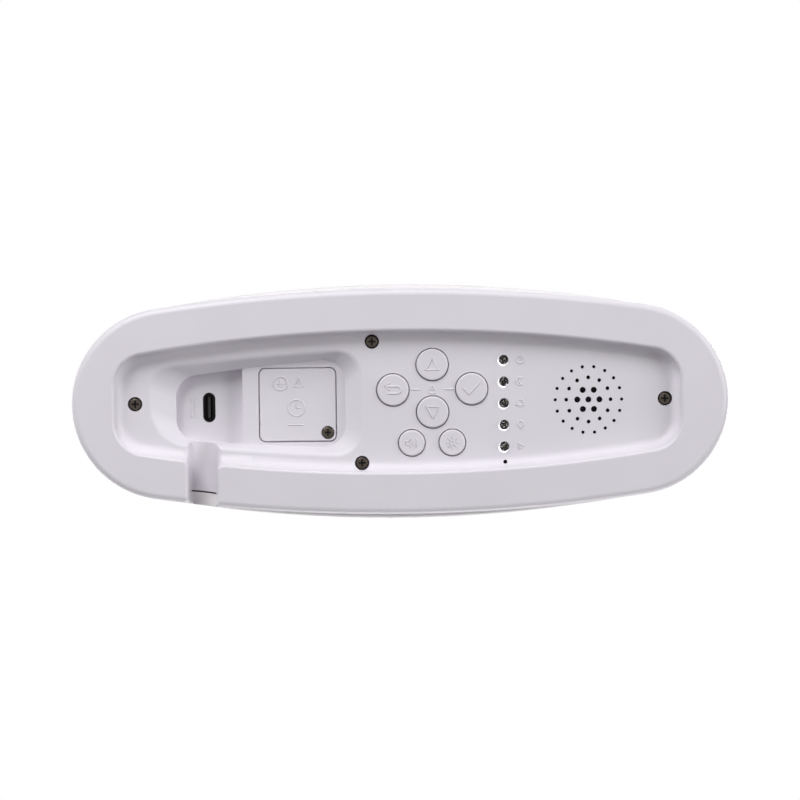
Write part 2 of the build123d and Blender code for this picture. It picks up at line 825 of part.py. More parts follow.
window_ring = window_face(front_gap)
band_face = ring_sector(band_inner_radius, band_outer_radius, band_end_angle)
band_hole = ring_sector(band_inner_radius - front_gap, band_outer_radius + front_gap, band_end_angle)
band_light = ring_sector(band_inner_radius + band_ledge, band_outer_radius - band_ledge,
                         band_end_angle)

# Front shell: front half of the round body, with window, light band, bosses and posts
with BuildPart() as front_shell:
    add(dome(0, shell_wall))
    add(flange_ring(-1))
    fillet(shell_foot(front_shell), shell_edge_fillet)
    add(wall_boss(front_screw_x, front_screw_y, -1))
    add(end_bosses.part)
    add(posts.part)
    # parting tongue that runs round the arch at y = 0
    with BuildSketch(at(seam_z)):
        with Locations((body_radius - parting_tongue_inset, -parting_tongue_height / 2)):
            Rectangle(parting_tongue, 2 * parting_tongue_height, align=(Align.MAX, Align.MIN))
    revolve(axis=spin_axis, revolution_arc=-180)
    add(parting_line.part, mode=Mode.SUBTRACT)
    add(front_skin(window_ring, -cut_spare, window_thickness), mode=Mode.SUBTRACT)
    add(front_skin(band_hole, -cut_spare, window_thickness), mode=Mode.SUBTRACT)
    for light_face in (window_face(-window_ledge), band_light):
        add(front_skin(light_face, -cut_spare, shell_wall + front_clear_depth),
            mode=Mode.SUBTRACT)
    with BuildSketch(front_plane.offset(-board_front_y)):
        with Locations(*post_places):
            Circle(board_screw_shank / 2 + screw_gap)
    extrude(amount=board_screw_length, mode=Mode.SUBTRACT)
finish_piece(front_shell, "front_shell")

# Rear shell: rear half, with the cable notch and a groove for the tongue
with BuildPart() as rear_shell:
    add(dome(0, shell_wall, side=1))
    add(flange_ring(1))
    fillet(shell_foot(rear_shell), shell_edge_fillet)
    add(wall_boss(rear_screw_x, rear_screw_y, 1))
    with BuildSketch(at(seam_z)):
        with Locations((body_radius - parting_tongue_inset + parting_gap, -cut_spare)):
            Rectangle(parting_tongue + 2 * parting_gap,
                      cut_spare + 1.5 * parting_tongue_height + parting_gap,
                      align=(Align.MAX, Align.MIN))
    revolve(axis=spin_axis, revolution_arc=-180, mode=Mode.SUBTRACT)
    add(parting_line.part, mode=Mode.SUBTRACT)
    add(channel_tool.part, mode=Mode.SUBTRACT)
finish_piece(rear_shell, "rear_shell")

# Window lens and light band, flush with the front shell
with BuildPart() as display_window:
    add(front_skin(window_face(0), 0, window_thickness))
finish_piece(display_window, "display_window")

with BuildPart() as glow_band:
    add(front_skin(band_face, 0, window_thickness))
finish_piece(glow_band, "glow_band")


def box_piece(x0, x1, y0, y1, z0, z1):
    """Plain block between two corners."""
    with BuildPart() as block:
        with BuildSketch(at(z0)):
            with Locations(((x0 + x1) / 2, (y0 + y1) / 2)):
                Rectangle(x1 - x0, y1 - y0)
        extrude(amount=z1 - z0)
    return block.part


def screw(x, y, seat_z, head, head_height, shank, length, plane_up=True):
    """Pan-head screw with a cross recess; its shank points along +Z from the seat."""
    turn = 1 if plane_up else -1
    with BuildPart() as body:
        with BuildSketch(at(seat_z)):
            with Locations((x, y)):
                Circle(head / 2)
        extrude(amount=-turn * head_height)
        head_end = body.edges().sort_by(Axis.Z)[0 if plane_up else -1]
        fillet(head_end, head_height * head_round)
        with BuildSketch(at(seat_z)):
            with Locations((x, y)):
                Circle(shank / 2)
        extrude(amount=turn * length)
        tip = body.edges().sort_by(Axis.Z)[-1 if plane_up else 0]
        chamfer(tip, shank * tip_taper)
        with BuildSketch(at(seat_z - turn * head_height)):
            with Locations((x, y)):
                Rectangle(head * cross_reach, head * cross_width)
                Rectangle(head * cross_width, head * cross_reach)
        extrude(amount=turn * head_height * cross_depth, mode=Mode.SUBTRACT)
    return body.part


# Case screws, driven up from the panel into the shells' bosses
with BuildPart() as case_screws:
    for screw_x, screw_y in case_screw_places:
        add(screw(screw_x, screw_y, case_seat_z, case_screw_head, case_screw_head_height,
                  case_screw_shank, case_screw_length))
finish_piece(case_screws, "case_screws")

# Buttons: a cap that shows below the panel, a flange that keeps it in, and a stem to its switch
cap_bottom_z = recess_depth - button_proud
flange_bottom_z = button_hole_top + button_flange_gap
actuator_bottom_z = switch_bottom_z - actuator_height
for button_name, (button_x, button_y, cap_diameter) in button_places.items():
    with BuildPart() as button:
        with BuildSketch(at(cap_bottom_z)):
            with Locations((button_x, button_y)):
                Circle(cap_diameter / 2)
        extrude(amount=flange_bottom_z - cap_bottom_z)
        fillet(button.edges().group_by(Axis.Z)[0], button_edge)
        with BuildSketch(at(flange_bottom_z)):
            with Locations((button_x, button_y)):
                Circle(cap_diameter / 2 + button_flange_rim)
        extrude(amount=button_flange_height)
        with BuildSketch(at(flange_bottom_z + button_flange_height)):
            with Locations((button_x, button_y)):
                Circle(button_stem / 2)
        extrude(amount=actuator_bottom_z - flange_bottom_z - button_flange_height)
    finish_piece(button, f"button_{button_name}")
    with BuildPart() as actuator:
        with BuildSketch(at(actuator_bottom_z)):
            with Locations((button_x, button_y)):
                Circle(actuator_diameter / 2)
        extrude(amount=actuator_height + actuator_depth)
        chamfer(actuator.edges().group_by(Axis.Z)[0], actuator_edge)
    finish_piece(actuator, f"switch_plunger_{button_name}")

# Tact switches on the underside of the main board, with a well for each plunger
actuator_well = actuator_depth + button_travel + actuator_spare
with BuildPart() as tact_switches:
    for button_x, button_y, cap_diameter in button_places.values():
        with BuildSketch(at(switch_bottom_z)):
            with Locations((button_x, button_y)):
                RectangleRounded(switch_size, switch_size, switch_corner)
                Circle(actuator_diameter / 2 + actuator_gap, mode=Mode.SUBTRACT)
        extrude(amount=actuator_well)
        with BuildSketch(at(switch_bottom_z + actuator_well)):
            with Locations((button_x, button_y)):
                RectangleRounded(switch_size, switch_size, switch_corner)
        extrude(amount=switch_height - actuator_well)
finish_piece(tact_switches, "tact_switches")

# Reset switch behind its pinhole
with BuildPart() as reset_switch:
    with BuildSketch(at(switch_bottom_z)):
        with Locations((reset_x, reset_y)):
            RectangleRounded(reset_switch_size, reset_switch_size, switch_corner)
    extrude(amount=switch_height)
    with BuildSketch(at(switch_bottom_z)):
        with Locations((reset_x, reset_y)):
            Circle(reset_actuator / 2 + actuator_gap)
    extrude(amount=actuator_depth + reset_travel + actuator_spare, mode=Mode.SUBTRACT)
finish_piece(reset_switch, "reset_switch")

with BuildPart() as reset_plunger:
    with BuildSketch(at(actuator_bottom_z)):
        with Locations((reset_x, reset_y)):
            Circle(reset_actuator / 2)
    extrude(amount=actuator_height + actuator_depth)
finish_piece(reset_plunger, "reset_plunger")

# Indicator lamps: clear domed bodies with a flange above the panel, and their leads
dome_centre_z = recess_depth - lamp_proud + lamp_diameter / 2
lamp_flange_z = button_hole_top
with BuildPart() as indicator_lamps:
    for place_x, place_y in lamp_places:
        with BuildSketch(at(dome_centre_z)):
            with Locations((place_x, place_y)):
                Circle(lamp_diameter / 2)
        extrude(amount=lamp_flange_z + lamp_flange_height - dome_centre_z)
        with Locations((place_x, place_y, dome_centre_z)):
            Sphere(lamp_diameter / 2)
        with BuildSketch(at(lamp_flange_z)):
            with Locations((place_x, place_y)):
                Circle(lamp_flange / 2)
        extrude(amount=lamp_flange_height)
finish_piece(indicator_lamps, "indicator_lamps")

with BuildPart() as lamp_leads:
    for place_x, place_y in lamp_places:
        with BuildSketch(at(lamp_flange_z + lamp_flange_height)):
            with Locations((place_x, place_y)):
                with GridLocations(2 * lead_pitch, 1, 2, 1):
                    Rectangle(lead_size, lead_size)
        extrude(amount=main_board_z - lamp_flange_z - lamp_flange_height)
finish_piece(lamp_leads, "lamp_leads")

# Main board above the panel, with its chips and sockets
with BuildPart() as main_board:
    with BuildSketch(at(main_board_z)) as board_face:
        with Locations(((main_board_left + main_board_right) / 2,
                        (main_board_front + main_board_rear) / 2)):
            RectangleRounded(main_board_right - main_board_left,
                             main_board_rear - main_board_front, main_board_corner)
        with Locations((front_screw_x, front_screw_y)):
            Circle(boss_diameter / 2 + main_board_notch_gap, mode=Mode.SUBTRACT)
        with Locations(*main_boss_places):
            Circle(board_screw_shank / 2 + board_hole_gap, mode=Mode.SUBTRACT)
    extrude(amount=board_wall)
finish_piece(main_board, "main_board")


def board_screw_set(places, seat_z, head=board_screw_head, length=board_screw_length):
    """Small screws driven down through a board into its bosses."""
    with BuildPart() as screws:
        for screw_x, screw_y in places:
            add(screw(screw_x, screw_y, seat_z, head, board_screw_head_height,
                      board_screw_shank, length, plane_up=False))
    return screws.part


with BuildPart() as main_board_screws:
    add(board_screw_set(main_boss_places, main_board_top))
finish_piece(main_board_screws, "main_board_screws")

with BuildPart() as main_board_chips:
    for chip_x, chip_y, chip_length, chip_width, chip_height in chips:
        with BuildSketch(at(main_board_top)):
            with Locations((chip_x, chip_y)):
                Rectangle(chip_length, chip_width)
        extrude(amount=chip_height)
finish_piece(main_board_chips, "main_board_chips")

with BuildPart() as board_connectors:
    for plug_left, plug_right, plug_front, plug_rear in (
            speaker_plug, power_plug, battery_plug, ribbon_plug):
        add(box_piece(plug_left, plug_right, plug_front, plug_rear,
                      main_board_top, main_board_top + connector_height))
finish_piece(board_connectors, "board_connectors")

# Charging socket, standing over its slot under a small board of its own
port_bottom_z = port_floor_depth + port_sink
port_top_z = port_bottom_z + port_height
with BuildPart() as usb_socket:
    with BuildSketch(at(port_bottom_z)):
        with Locations((port_x, port_y)):
            SlotOverall(port_shell_length, port_shell_width, rotation=90)
            SlotOverall(port_shell_length - 2 * port_shell_wall,
                        port_shell_width - 2 * port_shell_wall, rotation=90, mode=Mode.SUBTRACT)
    extrude(amount=port_height)
    with BuildSketch(at(port_top_z - port_cap_height)):
        with Locations((port_x, port_y)):
            SlotOverall(port_shell_length, port_shell_width, rotation=90)
    extrude(amount=port_cap_height)
finish_piece(usb_socket, "usb_socket")

with BuildPart() as usb_tongue:
    with BuildSketch(at(port_bottom_z + port_tongue_sink)):
        with Locations((port_x, port_y)):
            Rectangle(port_tongue_width, port_tongue_length)
    extrude(amount=port_height - port_cap_height - port_tongue_sink)
finish_piece(usb_tongue, "usb_tongue")

with BuildPart() as usb_board:
    with BuildSketch(at(port_top_z)):
        with Locations(((port_board_left + port_board_right) / 2,
                        (port_board_front + port_board_rear) / 2)):
            RectangleRounded(port_board_right - port_board_left,
                             port_board_rear - port_board_front, main_board_corner)
        with Locations(*port_boss_places):
            Circle(board_screw_shank / 2 + board_hole_gap, mode=Mode.SUBTRACT)
    extrude(amount=board_wall)
finish_piece(usb_board, "usb_board")

with BuildPart() as usb_board_screws:
    add(board_screw_set(port_boss_places, port_top_z + board_wall))
finish_piece(usb_board_screws, "usb_board_screws")

# Coin cell, its contacts, and the door with its captive screw
cell_bottom_z = door_top_z + door_rib_height
cell_top_z = cell_bottom_z + cell_height
with BuildPart() as coin_cell:
    with BuildSketch(at(cell_bottom_z)):
        with Locations((cell_x, cell_y)):
            Circle(cell_diameter / 2)
    extrude(amount=cell_height)
    fillet(coin_cell.edges().group_by(Axis.Z)[0], cell_bottom_round)
    chamfer(coin_cell.edges().group_by(Axis.Z)[-1], cell_top_edge)
finish_piece(coin_cell, "coin_cell")

with BuildPart() as battery_door:
    with BuildSketch(at(battery_floor_depth)):
        with Locations((door_x, door_y)):
            RectangleRounded(door_length, door_width, door_corner)
    extrude(amount=door_wall)
    chamfer(battery_door.edges().group_by(Axis.Z)[0], door_edge)
    with BuildSketch(at(door_top_z)):
        with Locations((cell_x, cell_y)):
            with GridLocations(1, cell_diameter / 2.5, 1, 2):
                Rectangle(cell_diameter / 2, door_rib_width)
    extrude(amount=door_rib_height)
    with BuildSketch(at(battery_floor_depth)):
        with Locations((door_screw_x, door_screw_y)):
            Circle(door_screw_head / 2 + door_screw_head_gap)
    extrude(amount=door_wall / 2, mode=Mode.SUBTRACT)
    with BuildSketch(at(battery_floor_depth)):
        with Locations((door_screw_x, door_screw_y)):
            Circle(door_screw_shank / 2 + door_screw_shank_gap)
    extrude(amount=door_wall, mode=Mode.SUBTRACT)
    with BuildSketch(at(battery_floor_depth)):
        with Locations((door_x - door_length / 2, door_notch_y)):
            Circle(door_notch_radius)
    extrude(amount=door_notch_depth, mode=Mode.SUBTRACT)
finish_piece(battery_door, "battery_door")

with BuildPart() as battery_door_screw:
    add(screw(door_screw_x, door_screw_y, battery_floor_depth + door_wall / 2, door_screw_head,
              door_screw_head_height, door_screw_shank, door_screw_length))
finish_piece(battery_door_screw, "battery_door_screw")

# Contact plates: one over the cell, one beside it, both held in the well's roof
with BuildPart() as cell_contact_top:
    with BuildSketch(at(well_roof_z - contact_wall)):
        with Locations((cell_x, cell_y)):
            Circle(cell_diameter / 4)
    extrude(amount=contact_wall)
    with BuildSketch(at(cell_top_z)):
        with Locations((cell_x, cell_y)):
            with GridLocations(cell_diameter / 4, 1, 2, 1):
                Rectangle(contact_leaf, contact_width / 2)
    extrude(amount=well_roof_z - contact_wall - cell_top_z)
finish_piece(cell_contact_top, "cell_contact_top")

with BuildPart() as cell_contact_side:
    with BuildSketch(at(cell_bottom_z)):
        with Locations((cell_x - cell_diameter / 2 - cell_gap - contact_notch, cell_y)):
            Rectangle(contact_wall, contact_width, align=(Align.MIN, Align.CENTER))
            Rectangle(contact_notch, contact_wall, align=(Align.MIN, Align.CENTER))
    extrude(amount=well_roof_z - cell_bottom_z)
finish_piece(cell_contact_side, "cell_contact_side")

# Speaker: cloth mesh, foam gasket, steel basket, cone, magnet and three screws
panel_top_z = recess_depth + panel_wall
with BuildPart() as grille_mesh:
    with BuildSketch(at(panel_top_z)):
        with Locations((speaker_x, speaker_y)):
            Circle(mesh_radius)
    extrude(amount=mesh_thickness)
finish_piece(grille_mesh, "grille_mesh")

with BuildPart() as speaker_gasket:
    with BuildSketch(at(panel_top_z)):
        with Locations((speaker_x, speaker_y)):
            Circle(speaker_radius)
            Circle(speaker_radius - gasket_width, mode=Mode.SUBTRACT)
    extrude(amount=gasket_height)
finish_piece(speaker_gasket, "speaker_gasket")

basket_top_z = speaker_flange_z + basket_height


def speaker_profile(points):
    """Ring of revolution about the speaker's axis from points of radius and height."""
    with BuildPart() as ring:
        with BuildSketch(Plane.XZ.offset(-speaker_y)):
            with BuildLine():
                Polyline(*[(speaker_x + r, z) for r, z in points], close=True)
            make_face()
        revolve(axis=Axis((speaker_x, speaker_y, 0), (0, 0, 1)))
    return ring.part


with BuildPart() as speaker_basket:
    add(speaker_profile([
        (speaker_radius, speaker_flange_z),
        (speaker_radius, speaker_flange_z + speaker_flange),
        (speaker_radius - gasket_width, speaker_flange_z + speaker_flange),
        (basket_top_radius, basket_top_z),
        (magnet_radius / 2, basket_top_z),
        (magnet_radius / 2, basket_top_z - basket_wall),
        (basket_top_radius - basket_wall, basket_top_z - basket_wall),
        (speaker_radius - gasket_width - basket_wall, speaker_flange_z),
    ]))
finish_piece(speaker_basket, "speaker_basket")

cone_rim = speaker_radius - gasket_width - basket_wall - cone_gap
cone_top_z = speaker_flange_z + cone_depth
with BuildPart() as speaker_cone:
    add(speaker_profile([
        (0.0, cone_top_z),
        (cone_cap_radius, cone_top_z),
        (cone_rim, speaker_flange_z),
        (cone_rim, speaker_flange_z - cone_wall),
        (cone_cap_radius - cone_wall, cone_top_z - cone_wall),
        (0.0, cone_top_z - cone_wall),
    ]))
finish_piece(speaker_cone, "speaker_cone")

with BuildPart() as speaker_coil:
    add(speaker_profile([
        (coil_inner_radius, cone_top_z),
        (coil_outer_radius, cone_top_z),
        (coil_outer_radius, basket_top_z),
        (coil_inner_radius, basket_top_z),
    ]))
finish_piece(speaker_coil, "speaker_coil")

with BuildPart() as speaker_magnet:
    with BuildSketch(at(basket_top_z)):
        with Locations((speaker_x, speaker_y)):
            Circle(magnet_radius)
    extrude(amount=magnet_height)
    chamfer(speaker_magnet.edges().group_by(Axis.Z)[-1], magnet_edge)
finish_piece(speaker_magnet, "speaker_magnet")

with BuildPart() as speaker_screws:
    add(board_screw_set(speaker_bosses, speaker_boss_top, head=speaker_screw_head,
                        length=speaker_screw_length))
finish_piece(speaker_screws, "speaker_screws")

# Light board upright behind the window, screwed to the front shell's posts
upright = front_plane.offset(-board_rear_y)
with BuildPart() as light_board:
    with BuildSketch(upright):
        Circle(board_radius)
        with Locations((0, board_sill_z - seam_z - half_space / 2)):
            Rectangle(half_space, half_space, mode=Mode.SUBTRACT)
        with Locations(*post_places):
            Circle(board_screw_shank / 2 + board_hole_gap, mode=Mode.SUBTRACT)
    extrude(amount=board_wall)
finish_piece(light_board, "light_board")

with BuildPart() as light_board_screws:
    with BuildSketch(upright):
        with Locations(*post_places):
            Circle(board_screw_head / 2)
    extrude(amount=-board_screw_head_height)
    with BuildSketch(upright):
        with Locations(*post_places):
            Circle(board_screw_shank / 2)
    extrude(amount=board_screw_length)
finish_piece(light_board_screws, "light_board_screws")

# White trough that carries the lamps' light to the band
glow_angles = [
    glow_end_angle + (180 - 2 * glow_end_angle) * i / (glow_count - 1) for i in range(glow_count)
]
glow_places = [(glow_radius * cos(radians(a)), glow_radius * sin(radians(a))) for a in glow_angles]
with BuildPart() as light_trough:
    with BuildSketch(front_plane.offset(-board_front_y)):
        add(ring_sector(trough_inner_radius, trough_outer_radius, band_end_angle))
        with Locations(*glow_places):
            Circle(glow_hole / 2, mode=Mode.SUBTRACT)
    extrude(amount=trough_floor)
    with BuildSketch(front_plane.offset(-board_front_y)):
        add(ring_sector(trough_inner_radius, trough_outer_radius, band_end_angle))
        add(ring_sector(trough_inner_radius + trough_wall, trough_outer_radius - trough_wall,
                        band_end_angle), mode=Mode.SUBTRACT)
    extrude(amount=shell_half_width)
    add(dome(shell_wall + trough_rim_gap), mode=Mode.INTERSECT)
finish_piece(light_trough, "light_trough")

with BuildPart() as glow_lamps:
    with BuildSketch(front_plane.offset(-board_front_y)):
        with Locations(*glow_places):
            Rectangle(glow_led_size, glow_led_size)
    extrude(amount=glow_led_height)
finish_piece(glow_lamps, "glow_lamps")

# Display: body on the light board, lit segments on its face, shroud and printed mask
display_plane_z = display_z - seam_z
display_face_y = board_front_y - display_depth
with BuildPart() as display_body:
    with BuildSketch(front_plane.offset(-board_front_y)):
        with Locations((0, display_plane_z)):
            RectangleRounded(display_width, display_height, display_corner)
    extrude(amount=display_depth)
finish_piece(display_body, "display_body")


def segments(lit):
    """Centres and sizes of a digit's lit bars, from its own centre."""
    half_h, half_w = digit_height / 2, digit_width / 2
    bar = half_h - segment_width / 2
    table = {
        "a": ((0, bar), False), "g": ((0, 0), False), "d": ((0, -bar), False),
        "b": ((half_w - segment_width / 2, half_h / 2), True),
        "c": ((half_w - segment_width / 2, -half_h / 2), True),
        "f": ((-half_w + segment_width / 2, half_h / 2), True),
        "e": ((-half_w + segment_width / 2, -half_h / 2), True),
    }
    return [table[name] for name in lit]


digits = ("bc", "abcdef", "abged", "abcdef")
digit_centres = (
    -1.5 * digit_pitch - digit_colon_gap / 2, -0.5 * digit_pitch - digit_colon_gap / 2,
    0.5 * digit_pitch + digit_colon_gap / 2, 1.5 * digit_pitch + digit_colon_gap / 2,
)
with BuildPart() as display_digits:
    with BuildSketch(front_plane.offset(-display_face_y)):
        for lit, centre in zip(digits, digit_centres):
            for (offset_x, offset_z), upright_bar in segments(lit):
                with Locations((centre + offset_x, display_plane_z + offset_z)):
                    if upright_bar:
                        Rectangle(segment_width, digit_height / 2 - segment_width - segment_gap)
                    else:
                        Rectangle(digit_width - 2 * segment_width - segment_gap, segment_width)
        with Locations((0, display_plane_z)):
            with GridLocations(1, digit_height / 2.5, 1, 2):
                Circle(segment_width / 2)
    extrude(amount=segment_depth)
finish_piece(display_digits, "display_digits")

with BuildPart() as window_mask:
    add(front_skin(window_face(-window_ledge - mask_edge_gap), window_thickness + mask_gap,
                   window_thickness + mask_gap + mask_thickness))
    with BuildSketch(front_plane):
        with Locations((0, display_plane_z)):
            RectangleRounded(display_width - 2 * mask_frame_side, display_height - 2 * mask_frame_end,
                             mask_corner)
    extrude(amount=half_space, mode=Mode.SUBTRACT)
finish_piece(window_mask, "window_mask")

# Flat ribbon from the main board up to the light board
ribbon_x = (ribbon_plug[0] + ribbon_plug[1]) / 2
ribbon_y = (ribbon_plug[2] + ribbon_plug[3]) / 2
with BuildPart() as ribbon_cable:
    with BuildSketch(Plane.YZ.offset(ribbon_x - ribbon_width / 2)):
        with BuildLine() as ribbon_path:
            FilletPolyline(
                (ribbon_y, main_board_top + connector_height),
                (ribbon_y, ribbon_top_z),
                (board_rear_y + connector_height, ribbon_top_z),
                radius=ribbon_bend,
            )
        trace(ribbon_path.line, line_width=ribbon_thickness)
    extrude(amount=ribbon_width)
finish_piece(ribbon_cable, "ribbon_cable")

with BuildPart() as light_board_socket:
    add(box_piece(ribbon_plug[0], ribbon_plug[1], board_rear_y, board_rear_y + connector_height,
                  ribbon_top_z - connector_height / 2, ribbon_top_z + connector_height / 2))
finish_piece(light_board_socket, "light_board_socket")


def wire(points, radius):
    """Round wire along straight runs with rounded corners."""
    with BuildPart() as run:
        with BuildLine() as path:
            FilletPolyline(*points, radius=radius)
        with BuildSketch(Plane(origin=path.line @ 0, z_dir=path.line % 0)):
            Circle(wire_diameter / 2)
        sweep()
    return run.part


def plug_centre(plug):
    """Middle of a socket on the main board."""
    left, right, front, rear = plug
    return (left + right) / 2, (front + rear) / 2


wire_top = main_board_top + connector_height
with BuildPart() as speaker_leads:
    plug_x, plug_y = plug_centre(speaker_plug)
    tag_x, rise = speaker_x + speaker_tag_offset, wire_top + speaker_lead_rise
    for side in (-1, 1):
        lead_y = plug_y + side * speaker_lead_spread
        tag_y = speaker_y + side * speaker_tag_spread
        add(wire([
            (plug_x, lead_y, wire_top), (plug_x, lead_y, rise),
            (tag_x, tag_y, rise), (tag_x, tag_y, basket_top_z + magnet_height),
        ], lead_bend))
finish_piece(speaker_leads, "speaker_leads")

with BuildPart() as power_leads:
    plug_x, plug_y = plug_centre(power_plug)
    rise = wire_top + power_lead_rise
    for lead in (-power_lead_spread, power_lead_spread):
        add(wire([
            (plug_x, plug_y + lead, wire_top), (plug_x, plug_y + lead, rise),
            (port_lead_x, port_lead_y + lead, rise),
            (port_lead_x, port_lead_y + lead, port_top_z + board_wall),
        ], lead_bend))
finish_piece(power_leads, "power_leads")

with BuildPart() as battery_leads:
    plug_x, plug_y = plug_centre(battery_plug)
    tag_x, rise = cell_x + cell_lead_offset, wire_top + battery_lead_rise
    for lead in (-battery_lead_spread, battery_lead_spread):
        tag_y = cell_y - cell_lead_offset + lead
        add(wire([
            (plug_x, plug_y + lead, wire_top), (plug_x, plug_y + lead, rise),
            (tag_x, tag_y, rise), (tag_x, tag_y, well_roof_z + well_wall),
        ], battery_lead_bend))
finish_piece(battery_leads, "battery_leads")
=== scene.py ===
import math

import bmesh
import bpy
from bpy.props import FloatProperty, FloatVectorProperty, IntProperty, PointerProperty
from mathutils import Matrix, Vector


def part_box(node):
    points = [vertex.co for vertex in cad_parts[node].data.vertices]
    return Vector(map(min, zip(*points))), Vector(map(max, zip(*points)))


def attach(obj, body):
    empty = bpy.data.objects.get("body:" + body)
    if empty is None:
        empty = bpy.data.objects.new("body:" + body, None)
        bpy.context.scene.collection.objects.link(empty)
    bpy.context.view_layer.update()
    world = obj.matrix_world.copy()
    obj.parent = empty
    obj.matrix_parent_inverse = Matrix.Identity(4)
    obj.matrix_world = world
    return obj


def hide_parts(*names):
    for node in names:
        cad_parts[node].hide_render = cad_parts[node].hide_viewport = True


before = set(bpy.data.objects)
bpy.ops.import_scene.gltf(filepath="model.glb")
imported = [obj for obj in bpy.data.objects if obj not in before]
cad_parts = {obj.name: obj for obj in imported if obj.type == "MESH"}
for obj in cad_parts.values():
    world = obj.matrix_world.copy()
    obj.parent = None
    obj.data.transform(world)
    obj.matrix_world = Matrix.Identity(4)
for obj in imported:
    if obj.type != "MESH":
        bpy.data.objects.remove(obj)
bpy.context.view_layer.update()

bl_info = {
    "name": "Sleep trainer clock",
    "version": (1, 0, 0),
    "blender": (4, 5, 0),
    "location": "View3D > Sidebar > Clock",
    "description": "Finishes, raised signs, indicator lamps and studio stage of a bedside clock",
    "category": "Add Mesh",
}

MM = 0.001
KEYS = ("up", "back", "check", "down", "volume", "brightness")
KEY_RISE = 0.7 * MM          # how far the keys stand out of the panel
TONE_SPAN = (0.25, 0.75)     # part of a pattern's values over which its two tones blend
STROKE_SIDES = 12            # round a raised stroke and the balls at its points
TURN_SEED = 7                # of the placed copies' chance turns
DOME_WIDTH, FLANGE_WIDTH = 3.0, 3.8    # of a 3 mm indicator lamp
FLANGE_HEIGHT = 1.0 * MM

# name, direction that the light comes from, distance and side in metres, level on the clock
FILL_LAMPS = (
    ("right_below", (1.0, -0.2, -0.5), 1.4, 0.9, 0.66),
    ("left_below", (-1.0, 0.15, -0.5), 1.4, 0.9, 0.16),
    ("front_low", (0.1, -1.0, -0.15), 1.4, 0.6, 0.12),
    ("left_table", (-1.0, 0.1, 0.2), 1.4, 0.9, 0.1),
    ("rear_table", (0.1, 1.0, 0.25), 1.4, 0.9, 0.7),
    ("key_above", (0.5, -0.3, 1.2), 1.5, 0.8, 0.5),
    ("fill_above", (-0.9, 0.5, 0.9), 1.6, 1.2, 0.2),
)


def linear(hex_colour):
    """Linear RGBA of an sRGB hex value."""
    channels = [int(hex_colour[i:i + 2], 16) / 255 for i in (1, 3, 5)]
    return (*(c / 12.92 if c <= 0.04045 else ((c + 0.055) / 1.055) ** 2.4 for c in channels), 1.0)


def middle(node):
    """Middle of a CAD node's box."""
    low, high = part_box(node)
    return (low + high) / 2


def colour_property(name, description, hex_colour):
    """Colour setting with its default given as an sRGB hex value."""
    return FloatVectorProperty(name=name, description=description, default=linear(hex_colour),
                               subtype="COLOR", size=4, min=0.0, max=1.0)


def length_property(name, description, millimetres):
    """Length setting with its default given in millimetres."""
    return FloatProperty(name=name, description=description, default=millimetres * MM,
                         subtype="DISTANCE", unit="LENGTH", precision=5, min=0.0)


class ClockFinishSettings(bpy.types.PropertyGroup):
    base: colour_property("Base", "Cool white ABS of the base, keys and door", "#D9D5DC")
    shell: colour_property("Shells", "White ABS of the upper shells", "#DEDBDE")
    band: colour_property("Light band", "Opal polycarbonate over the lamps", "#EFE9DF")
    window: colour_property("Window", "Smoked acrylic of the window", "#5A5A60")
    digits: colour_property("Digits", "Light of the lit bars", "#FFDDA8")
    screw: colour_property("Screws", "Black oxide on the case and door screws", "#121112")
    grain: length_property("Grain", "Size of the matt grain in the moulded plastic", 0.45)
    grain_depth: length_property("Grain depth", "Height of that grain", 0.006)


class ClockSignSettings(bpy.types.PropertyGroup):
    stroke: length_property("Stroke", "Width of the raised strokes on the large keys", 0.58)
    fine_stroke: length_property("Fine stroke", "Width of the strokes on small signs", 0.4)
    height: length_property("Height", "How far the strokes stand up", 0.23)
    arrow_width: length_property("Arrow width", "Width of the triangle signs", 4.0)
    arrow_height: length_property("Arrow height", "Height of the triangle signs", 3.6)
    lamp_sign: length_property("Lamp sign", "Radius of the signs beside the lamps", 1.25)
    lamp_sign_gap: length_property("Lamp sign gap", "From a lamp's centre to its sign's", 5.2)
    socket_level: length_property("Socket level", "Height of the floor round the socket", 13.0)


class ClockLampSettings(bpy.types.PropertyGroup):
    count: IntProperty(name="Lamps", description="Indicator lamps in the column", default=5,
                       min=2)
    cup_radius: length_property("Cup radius", "Radius of the reflector cup in a lamp", 1.1)
    cup_depth: length_property("Cup place", "From the dome's tip to the cup's lip", 1.5)
    die: length_property("Die", "Side of the light-giving die", 0.12)
    glint: FloatProperty(name="Glint", description="Level of the light that a clear dome throws",
                         default=1.7)


class ClockStageSettings(bpy.types.PropertyGroup):
    camera_distance: length_property("Camera distance", "From the rim to the camera", 900.0)
    image_width: length_property("Image width", "What the image spans at the rim", 251.6)
    tilt: FloatProperty(name="Tilt", description="How far the camera leans to the front",
                        default=math.radians(0.7), subtype="ANGLE")
    roll: FloatProperty(name="Roll", description="Turn of the object in the image",
                        default=math.radians(0.65), subtype="ANGLE")
    rise: length_property("Rise", "How far the camera stands towards the clock's front", 0.47)
    ambient: FloatProperty(name="Ambient", description="Level of the even light", default=0.12)
    key_level: FloatProperty(name="Key level", description="Level of the main lamp",
                             default=0.81)
    floor: colour_property("Floor", "Plain pale floor", "#F2F2F2")


def add_object(name, data):
    """Object for a mesh, curve, light or camera, in the scene's collection."""
    added = bpy.data.objects.new(name, data)
    bpy.context.scene.collection.objects.link(added)
    return added


